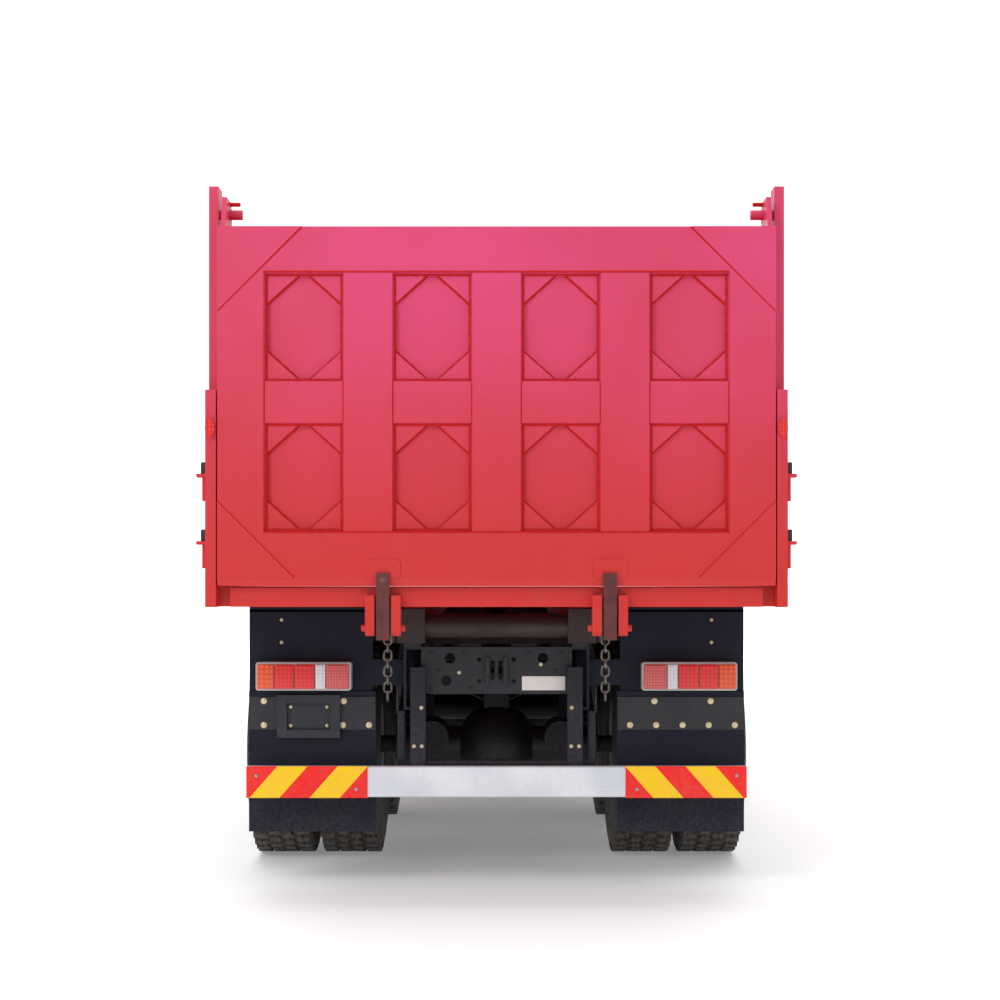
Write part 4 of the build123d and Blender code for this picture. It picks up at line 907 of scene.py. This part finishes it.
# Straps and filler cap of the fuel tank, and the cover of the battery box
TANK_MIDDLE = (0.780, 0.860)
TANK_SIZE = (0.640, 0.560)
TANK_ROUND = 0.060
TANK_TOP_Z = face_at("tanks_and_boxes", "Z", max)
STRAP_Y = (0.200, 1.090)
STRAP_WIDE = 0.060
STRAP_THICK = 0.005
STRAP_SINK = 0.001
STRAP_BEND_STEPS = 6
CAP_PLACE = (0.960, 1.250)
CAP_R = 0.055
CAP_HEIGHT = 0.034
CAP_SIDES = 28
CAP_GRIP = [(0.010, -0.004), (0.020, 0.006)]
CAP_ROUND = 0.002
BOX_FACE_X = face_at("tanks_and_boxes", "X", min)
BOX_Y = (0.560, 1.350)
BOX_Z = (0.640, 1.100)
COVER_MARGIN = 0.035
COVER_THICK = 0.006
COVER_DISH = [(0.030, 0), (0.006, -0.003)]
COVER_ROUND = 0.001
LATCH_SIZE = (0.012, 0.040, 0.070)
LATCH_OUT = 0.005
LATCH_FROM_END = 0.20
LATCH_FROM_TOP = 0.070
LATCH_ROUND = 0.003


def tank_strap(y):
    """A band bent round the tank: a block with rounded edges, opened and given a wall."""
    size = (TANK_SIZE[0] + 2 * STRAP_THICK, STRAP_WIDE, TANK_SIZE[1] + 2 * STRAP_THICK)
    strap = start_block(size, (TANK_MIDDLE[0], y, TANK_MIDDLE[1]))
    edit(strap)
    pick_edges(strap, lambda first, second: abs(first.y - second.y) > STRAP_WIDE / 2)
    bpy.ops.mesh.bevel(offset=TANK_ROUND + STRAP_THICK, segments=STRAP_BEND_STEPS)
    pick_faces(strap, lambda middle, normal: abs(normal.y) > SQUARE_ON)
    bpy.ops.mesh.delete(type="FACE")
    leave_edit()
    wall = strap.modifiers.new("wall", "SOLIDIFY")
    wall.thickness = STRAP_THICK + STRAP_SINK
    only(strap)
    bpy.ops.object.modifier_apply(modifier=wall.name)
    smooth(strap)
    return strap


def fit_tank_straps():
    settle(join([tank_strap(y) for y in STRAP_Y]), "tank_straps", "chassis", trim_black)


def fit_tank_cap():
    cap = start_drum(CAP_R, CAP_HEIGHT, (*CAP_PLACE, TANK_TOP_Z + CAP_HEIGHT / 2), "Z", CAP_SIDES)
    press_face(cap, UP, CAP_GRIP)
    round_edges(cap, CAP_ROUND)
    smooth(cap)
    settle(cap, "tank_cap", "chassis", trim_black)


def fit_box_cover():
    cover = block_between(
        (BOX_FACE_X - COVER_THICK, BOX_FACE_X), (BOX_Y[0] + COVER_MARGIN, BOX_Y[1] - COVER_MARGIN),
        (BOX_Z[0] + COVER_MARGIN, BOX_Z[1] - COVER_MARGIN))
    press_face(cover, (-1, 0, 0), COVER_DISH)
    round_edges(cover, COVER_ROUND)
    parts = [cover]
    for y in (BOX_Y[0] + LATCH_FROM_END, BOX_Y[1] - LATCH_FROM_END):
        latch_x = BOX_FACE_X - COVER_THICK - LATCH_OUT
        latch = start_block(LATCH_SIZE, (latch_x, y, BOX_Z[1] - LATCH_FROM_TOP))
        round_edges(latch, LATCH_ROUND)
        parts.append(latch)
    settle(join(parts), "battery_box_cover", "chassis", trim_black)


# Bolts on the inner faces of the gate's arms
ARM_FACE_X = 1.165
ARM_BOLT = (-4.029, 3.076)
ARM_BOLT_R = 0.010
ARM_BOLT_REACH = 0.042
ARM_BOLT_SIDES = 16
STUD_INSET = 0.003
STUD_RISE = 0.004


def fit_arm_bolts():
    bolts = []
    for sign in SIDES.values():
        middle = (sign * (ARM_FACE_X - ARM_BOLT_REACH / 2), *ARM_BOLT)
        bolt = start_drum(ARM_BOLT_R, ARM_BOLT_REACH, middle, "X", ARM_BOLT_SIDES)
        edit(bolt)
        pick_facing(bolt, (-sign, 0, 0))
        bpy.ops.mesh.inset(thickness=STUD_INSET, depth=0)
        push_out((-sign * STUD_RISE, 0, 0))
        leave_edit()
        smooth(bolt)
        bolts.append(bolt)
    settle(join(bolts), "hinge_arm_bolts", "gate", weld_and_shade_red)


# Vents and grab bars of the cab's sides, reflectors along the bed's lower rails
VENT_Y = (2.360, 2.640)
VENT_Z = (1.920, 2.340)
VENT_THICK = 0.012
VENT_DISH = [(0.022, 0), (0.004, -0.009)]
VENT_ROUND = 0.002
SLAT_COUNT = 7
SLAT_LEAN = math.radians(35)
SLAT_DEEP = 0.016
SLAT_THICK = 0.004
# How much shorter a slat is than the vent is wide, both ends together
SLAT_SHORTER = 0.050
# Share of the surround's thickness at which the slats stand
SLAT_OUT = 0.55
SLAT_ROUND = 0.0012
GRAB_Y = 2.830
GRAB_Z = (1.560, 2.260)
GRAB_STAND = 0.038
GRAB_R = 0.012
GRAB_SIDES = 16
GRAB_ROUND = 0.003
FOOT_FROM_END = 0.030
FOOT_R = 0.0108
FOOT_SIDES = 14
FOOT_FLARE = 1.9
FOOT_FLARE_RUN = 0.001
BED_RAIL_X = 1.230
BED_RAIL_Z = 1.374
REFLECTOR_Y = (0.906, -0.550, -2.007, -3.464)
REFLECTOR_SIZE = (0.008, 0.110, 0.046)
REFLECTOR_DISH = [(0.005, -0.002)]
REFLECTOR_ROUND = 0.0015


def fit_side_vents():
    wide, tall = VENT_Y[1] - VENT_Y[0], VENT_Z[1] - VENT_Z[0]
    for side, sign in SIDES.items():
        surround = block_between(mirrored(sign, (CAB_SIDE_X, CAB_SIDE_X + VENT_THICK)), VENT_Y, VENT_Z)
        press_face(surround, (sign, 0, 0), VENT_DISH)
        round_edges(surround, VENT_ROUND)
        parts = [surround]
        for index in range(SLAT_COUNT):
            slat = start_block((SLAT_DEEP, wide - SLAT_SHORTER, SLAT_THICK), (0, 0, 0))
            round_edges(slat, SLAT_ROUND)
            slat.rotation_euler = (0, sign * SLAT_LEAN, 0)
            slat.location = (sign * (CAB_SIDE_X + VENT_THICK * SLAT_OUT), sum(VENT_Y) / 2,
                             VENT_Z[0] + tall * (index + 1) / (SLAT_COUNT + 1))
            apply_place(slat)
            parts.append(slat)
        settle(join(parts), f"side_vent_{side}", "chassis", trim_black)


def grab_foot(sign, z):
    """A stub from the cab's side to the bar, flared where it meets the cab."""
    middle = (sign * (CAB_SIDE_X + GRAB_STAND / 2), GRAB_Y, z)
    foot = start_drum(FOOT_R, GRAB_STAND, middle, "X", FOOT_SIDES)
    edit(foot)
    pick_facing(foot, (-sign, 0, 0))
    push_out((sign * FOOT_FLARE_RUN, 0, 0))
    bpy.ops.transform.resize(value=(1, FOOT_FLARE, FOOT_FLARE))
    leave_edit()
    smooth(foot)
    return foot


def fit_grab_bars():
    bars = []
    for sign in SIDES.values():
        middle = (sign * (CAB_SIDE_X + GRAB_STAND), GRAB_Y, sum(GRAB_Z) / 2)
        bar = start_drum(GRAB_R, GRAB_Z[1] - GRAB_Z[0], middle, "Z", GRAB_SIDES)
        round_edges(bar, GRAB_ROUND)
        smooth(bar)
        feet = [grab_foot(sign, z) for z in (GRAB_Z[0] + FOOT_FROM_END, GRAB_Z[1] - FOOT_FROM_END)]
        bars += [bar, *feet]
    settle(join(bars), "grab_bars", "chassis", trim_black)


def fit_bed_reflectors():
    reflectors = []
    for sign in SIDES.values():
        for y in REFLECTOR_Y:
            middle = (sign * (BED_RAIL_X + REFLECTOR_SIZE[0] / 2), y, BED_RAIL_Z)
            reflector = start_block(REFLECTOR_SIZE, middle)
            press_face(reflector, (sign, 0, 0), REFLECTOR_DISH)
            round_edges(reflector, REFLECTOR_ROUND)
            reflectors.append(reflector)
    settle(join(reflectors), "bed_reflectors", "bed", lens_amber)


# Lock chains
LINK_HALF = 0.023
LINK_RADIUS = 0.0160
LINK_WIRE = 0.0056
LINK_STEPS = 24
WIRE_STEPS = 8
LINK_COUNT = 8
LINK_PITCH = 0.0347
CHAIN_X = 0.473
CHAIN_Y = -4.070
CHAIN_TOP_Z = 1.177
HANGER_Z = (1.188, 1.319)
HANGER_SIZE = (0.020, 0.044)
HANGER_ROUND = 0.004
# Points this near the link's middle stay where they are when it is drawn out
LINK_WAIST = 0.0001


def chain_link():
    """A round-wire link at the origin: a ring drawn out along Z."""
    deselect_all()
    bpy.ops.mesh.primitive_torus_add(
        major_radius=LINK_RADIUS, minor_radius=LINK_WIRE, major_segments=LINK_STEPS,
        minor_segments=WIRE_STEPS, rotation=(QUARTER, 0, 0))
    link = bpy.context.object
    apply_place(link)
    edit(link)
    for turn in (-1, 1):
        pick_points(link, lambda spot: turn * spot.z > LINK_WAIST)
        bpy.ops.transform.translate(value=(0, 0, turn * (LINK_HALF - LINK_RADIUS)))
    leave_edit()
    smooth(link, degrees=60)
    return link


def hang_chains():
    link = chain_link()
    pieces = []
    for sign in SIDES.values():
        for index in range(LINK_COUNT):
            place = (sign * CHAIN_X, CHAIN_Y, CHAIN_TOP_Z - index * LINK_PITCH)
            pieces.append(copy_to(link, place, (0, 0, QUARTER * (index % 2))))
        middle = (sign * CHAIN_X, CHAIN_Y, sum(HANGER_Z) / 2)
        hanger = start_block((*HANGER_SIZE, HANGER_Z[1] - HANGER_Z[0]), middle)
        round_edges(hanger, HANGER_ROUND)
        pieces.append(hanger)
    chains = join(pieces)
    settle(chains, "round_link_chains", "bed", chain_steel)
    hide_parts("lock_chains")
    discard(link)


# Blank sticker on the tail plate
STICKER_X = (0.118, 0.318)
STICKER_Z = (0.920, 0.985)
STICKER_THICK = 0.002
STICKER_CROWN = [(0.003, 0.0004)]
STICKER_ROUND = 0.0006


def fit_sticker():
    sticker = block_between(STICKER_X, (TAIL_PLATE_Y - STICKER_THICK, TAIL_PLATE_Y), STICKER_Z)
    press_face(sticker, BACKWARD, STICKER_CROWN)
    round_edges(sticker, STICKER_ROUND)
    settle(sticker, "blank_sticker", "chassis", sticker_white)


# Sleeves on the hook pins of the posts, and the bolts of the tail plate and of the rail's hangers
HOOK_PLACE = (1.260, -4.130)
HOOK_Z = (1.885, 1.595)
SLEEVE_R = 0.017
SLEEVE_HEIGHT = 0.048
SLEEVE_LIFT = 0.008
SLEEVE_SIDES = 18
SLEEVE_CROWN = [(0.004, 0.003)]
SLEEVE_ROUND = 0.002
TAIL_HEAD_R = 0.009
TAIL_BOLTS = [(0.300, 0.925), (0.300, 1.095), (0.150, 1.095), (0.120, 0.928), (0.270, 1.012)]
HANGER_BOLTS = [(0.343, 0.668), (0.379, 0.668), (0.345, 0.845)]
BRIGHT_BOLTS = [(-0.173, 1.002), (0.205, 1.040)]


def fit_hook_sleeves():
    sleeves = []
    for sign in SIDES.values():
        for z in HOOK_Z:
            middle = (sign * HOOK_PLACE[0], HOOK_PLACE[1], z + SLEEVE_LIFT + SLEEVE_HEIGHT / 2)
            sleeve = start_drum(SLEEVE_R, SLEEVE_HEIGHT, middle, "Z", SLEEVE_SIDES)
            press_face(sleeve, UP, SLEEVE_CROWN)
            round_edges(sleeve, SLEEVE_ROUND)
            smooth(sleeve)
            sleeves.append(sleeve)
    settle(join(sleeves), "hook_pin_sleeves", "bed", trim_black)


def fit_tail_bolts():
    """Bolts in the plate's colour, clear of the sticker, and bright ones."""
    small = round_head(TAIL_HEAD_R)
    heads, bright = [], []
    for sign in SIDES.values():
        clear = [spot for spot in TAIL_BOLTS if sign < 0 or spot[1] > STICKER_Z[1]]
        heads += [copy_to(small, (sign * x, TAIL_PLATE_Y, z)) for x, z in clear]
        bright += [copy_to(small, (sign * x, HANGER_FACE_Y, z)) for x, z in HANGER_BOLTS]
    bright += [copy_to(small, (x, TAIL_PLATE_Y, z)) for x, z in BRIGHT_BOLTS]
    settle(join(heads), "tail_plate_bolts", "chassis", plate_grey)
    settle(join(bright), "hanger_bolts", "chassis", zinc)
    discard(small)


# Cab: wipers, lamp rings, marker lamps, mirror panes and the blank front plate
SCREEN_FOOT = (CAB_FRONT_Y, 1.915)
SCREEN_RISE = 0.905
SCREEN_RUN = 0.240
SCREEN_LEAN = math.atan2(SCREEN_RUN, SCREEN_RISE)
# Pivot, arm end on the blade, blade ends, across and up the screen
WIPERS = [
    ((-0.86, 0.045), (-0.46, 0.185), (-0.92, 0.150), (0.02, 0.215)),
    ((0.10, 0.045), (0.50, 0.185), (0.04, 0.150), (0.98, 0.215)),
]
# Width, thickness and place out from the screen's plane
WIPER_ARM = (0.022, 0.010, 0.006)
WIPER_BLADE = (0.012, 0.012, -0.008)
WIPER_TAPER = (1, 0.7, 0.6)
WIPER_ROUND_SHARE = 0.2
KNOB_R = 0.020
KNOB_LENGTH = 0.024
KNOB_OUT = 0.004
KNOB_SIDES = 16
KNOB_ROUND = 0.004
# Across, up and radius
LAMP_RINGS = [(0.830, 0.770, 0.082), (1.010, 0.770, 0.082)]
RING_THICK = 0.008
RING_SIDES = 32
RING_PROFILE = [(0.008, 0.002), (0.004, -0.008), (0.030, 0.004)]
MARKER_X = (-0.90, -0.45, 0.0, 0.45, 0.90)
MARKER_Y = 3.560
MARKER_SIZE = (0.130, 0.060, 0.034)
MARKER_TAPER = (0.86, 0.6, 1)
MARKER_ROUND = 0.006
MARKER_ROUND_STEPS = 3
MIRROR_X = 1.320
MIRROR_Z = 2.420
PANE_SIZE = (0.172, 0.003, 0.370)
PANE_DISH = [(0.006, -0.001)]
FRONT_PLATE_Y = 4.140
FRONT_PLATE_Z = 0.660
FRONT_PLATE_SIZE = (0.520, 0.004, 0.110)
FRONT_PLATE_DISH = [(0.006, -0.001)]
FRONT_PLATE_ROUND = 0.001


def wiper_bar(start, end, wide, thick, depth):
    """A tapered bar between two points of an upright plane, at a depth from it."""
    bar = start_block((math.dist(start, end), thick, wide), (0, 0, 0))
    edit(bar)
    pick_facing(bar, (1, 0, 0))
    bpy.ops.transform.resize(value=WIPER_TAPER)
    leave_edit()
    round_edges(bar, thick * WIPER_ROUND_SHARE)
    lay_between(bar, start, end, depth)
    return bar


def fit_wipers():
    bars = []
    for pivot, grip, blade_start, blade_end in WIPERS:
        bars.append(wiper_bar(pivot, grip, *WIPER_ARM))
        bars.append(wiper_bar(blade_start, blade_end, *WIPER_BLADE))
        knob = start_drum(KNOB_R, KNOB_LENGTH, (pivot[0], KNOB_OUT, pivot[1]), "Y", KNOB_SIDES)
        round_edges(knob, KNOB_ROUND)
        bars.append(knob)
    wipers = join(bars)
    wipers.rotation_euler = (SCREEN_LEAN, 0, 0)
    wipers.location = (0, *SCREEN_FOOT)
    settle(wipers, "screen_wipers", "chassis", trim_black)


def fit_headlamp_rings():
    for side, sign in SIDES.items():
        rings = []
        for x, z, radius in LAMP_RINGS:
            middle = (sign * x, HEADLAMP_FACE_Y + RING_THICK / 2, z)
            ring = start_drum(radius, RING_THICK, middle, "Y", RING_SIDES)
            press_face(ring, FORWARD, RING_PROFILE)
            smooth(ring, degrees=30)
            rings.append(ring)
        settle(join(rings), f"headlamp_rings_{side}", "chassis", rod_chrome)


def fit_markers():
    markers = []
    for x in MARKER_X:
        marker = start_block(MARKER_SIZE, (x, MARKER_Y, ROOF_Z + MARKER_SIZE[2] / 2))
        edit(marker)
        pick_facing(marker, UP)
        bpy.ops.transform.resize(value=MARKER_TAPER)
        leave_edit()
        round_edges(marker, MARKER_ROUND, steps=MARKER_ROUND_STEPS)
        smooth(marker)
        markers.append(marker)
    settle(join(markers), "roof_markers", "chassis", lens_amber)


def fit_mirror_panes():
    panes = []
    for sign in SIDES.values():
        pane = start_block(PANE_SIZE, (sign * MIRROR_X, MIRROR_FACE_Y - PANE_SIZE[1] / 2, MIRROR_Z))
        press_face(pane, BACKWARD, PANE_DISH)
        panes.append(pane)
    settle(join(panes), "mirror_panes", "chassis", mirror_glass)


def fit_front_plate():
    plate = start_block(FRONT_PLATE_SIZE, (0, FRONT_PLATE_Y + FRONT_PLATE_SIZE[1] / 2, FRONT_PLATE_Z))
    press_face(plate, FORWARD, FRONT_PLATE_DISH)
    round_edges(plate, FRONT_PLATE_ROUND)
    settle(plate, "blank_front_plate", "chassis", sticker_white)


fit_tyres()
weld_gate()
fit_hook_sleeves()
fit_tail_bolts()
fit_wipers()
fit_headlamp_rings()
fit_markers()
fit_mirror_panes()
fit_front_plate()
fit_tail_lamps()
fit_clamp_plates()
fit_skirt_edges()
fit_air_pipe()
fit_tank_straps()
fit_tank_cap()
fit_box_cover()
fit_arm_bolts()
fit_side_vents()
fit_grab_bars()
fit_bed_reflectors()
fit_bolts()
hang_chains()
fit_sticker()


# Floor, light and camera
FLOOR_SIZE = 70
BACKDROP_HEIGHT = 30
BACKDROP_ROUND = 9.0
BACKDROP_STEPS = 12
FLOOR_TONE = opaque(0.90, 0.90, 0.90)
FLOOR_SHADE = opaque(0.88, 0.88, 0.88)


def build_floor():
    """A pale floor that curves up into a backdrop."""
    deselect_all()
    bpy.ops.mesh.primitive_plane_add(size=FLOOR_SIZE, location=(0, 0, 0))
    floor = bpy.context.object
    edit(floor)
    pick_edges(floor, lambda first, second: min(first.y, second.y) > 0)
    push_out((0, 0, BACKDROP_HEIGHT))
    leave_edit()
    round_edges(floor, BACKDROP_ROUND, steps=BACKDROP_STEPS)
    smooth(floor, degrees=60)
    floor.name = "pale_floor"
    material, tree, shader, coordinates = new_material("pale_floor")
    uneven = place_group(tree, UNEVEN_COAT, coordinates, Scale=0.3)
    toned = mix_colour(tree, uneven.outputs["Mask"], FLOOR_TONE, FLOOR_SHADE)
    tree.links.new(toned, shader.inputs["Base Color"])
    shader.inputs["Roughness"].default_value = 0.75
    shader.inputs["Emission Color"].default_value = opaque(1.0, 1.0, 1.0)
    shader.inputs["Emission Strength"].default_value = 0.20
    floor.data.materials.append(material)


def soft_light(name, place, target, size, power):
    """A square soft box that faces a point."""
    lamp = bpy.data.lights.new(name, "AREA")
    lamp.size = size
    lamp.energy = power
    holder = bpy.data.objects.new(name, lamp)
    holder.location = place
    along_x, along_y, along_z = [to - here for to, here in zip(target, place)]
    flat = math.hypot(along_x, along_y)
    holder.rotation_euler = (math.atan2(flat, -along_z), 0, math.atan2(-along_x, along_y))
    bpy.context.collection.objects.link(holder)


def build_light():
    world = bpy.data.worlds.new("studio")
    world.use_nodes = True
    background = world.node_tree.nodes["Background"]
    background.inputs["Color"].default_value = opaque(0.95, 0.97, 1.0)
    background.inputs["Strength"].default_value = 0.66
    bpy.context.scene.world = world
    bed_middle = (0, -2, 1.4)
    soft_light("key", place=(-6.0, -13, 8.0), target=bed_middle, size=4, power=420)
    soft_light("fill", place=(6.5, -13, 5.0), target=bed_middle, size=7, power=70)
    soft_light("top", place=(0, 0, 12), target=(0, 0, 0), size=12, power=1250)
    soft_light("back", place=(0, 14, 12), target=(0, 34, 3), size=16, power=5200)


CAMERA_DISTANCE = 7.5
CAMERA_HEIGHT = 1.5
CAMERA_SHIFT = (0.0035, 0.065)
FRAME_WIDTH_AT_GATE = 4.288
SENSOR = 36.0
FARTHEST = 200


def build_camera():
    camera = bpy.data.cameras.new("rear_view")
    camera.sensor_width = SENSOR
    camera.lens = SENSOR * CAMERA_DISTANCE / FRAME_WIDTH_AT_GATE
    camera.shift_x, camera.shift_y = CAMERA_SHIFT
    camera.clip_end = FARTHEST
    holder = bpy.data.objects.new("rear_view", camera)
    holder.location = (0, GATE_FACE_Y - CAMERA_DISTANCE, CAMERA_HEIGHT)
    holder.rotation_euler = (QUARTER, 0, 0)
    bpy.context.collection.objects.link(holder)
    bpy.context.scene.camera = holder
    bpy.context.scene.view_settings.view_transform = "Standard"


build_floor()
build_light()
build_camera()
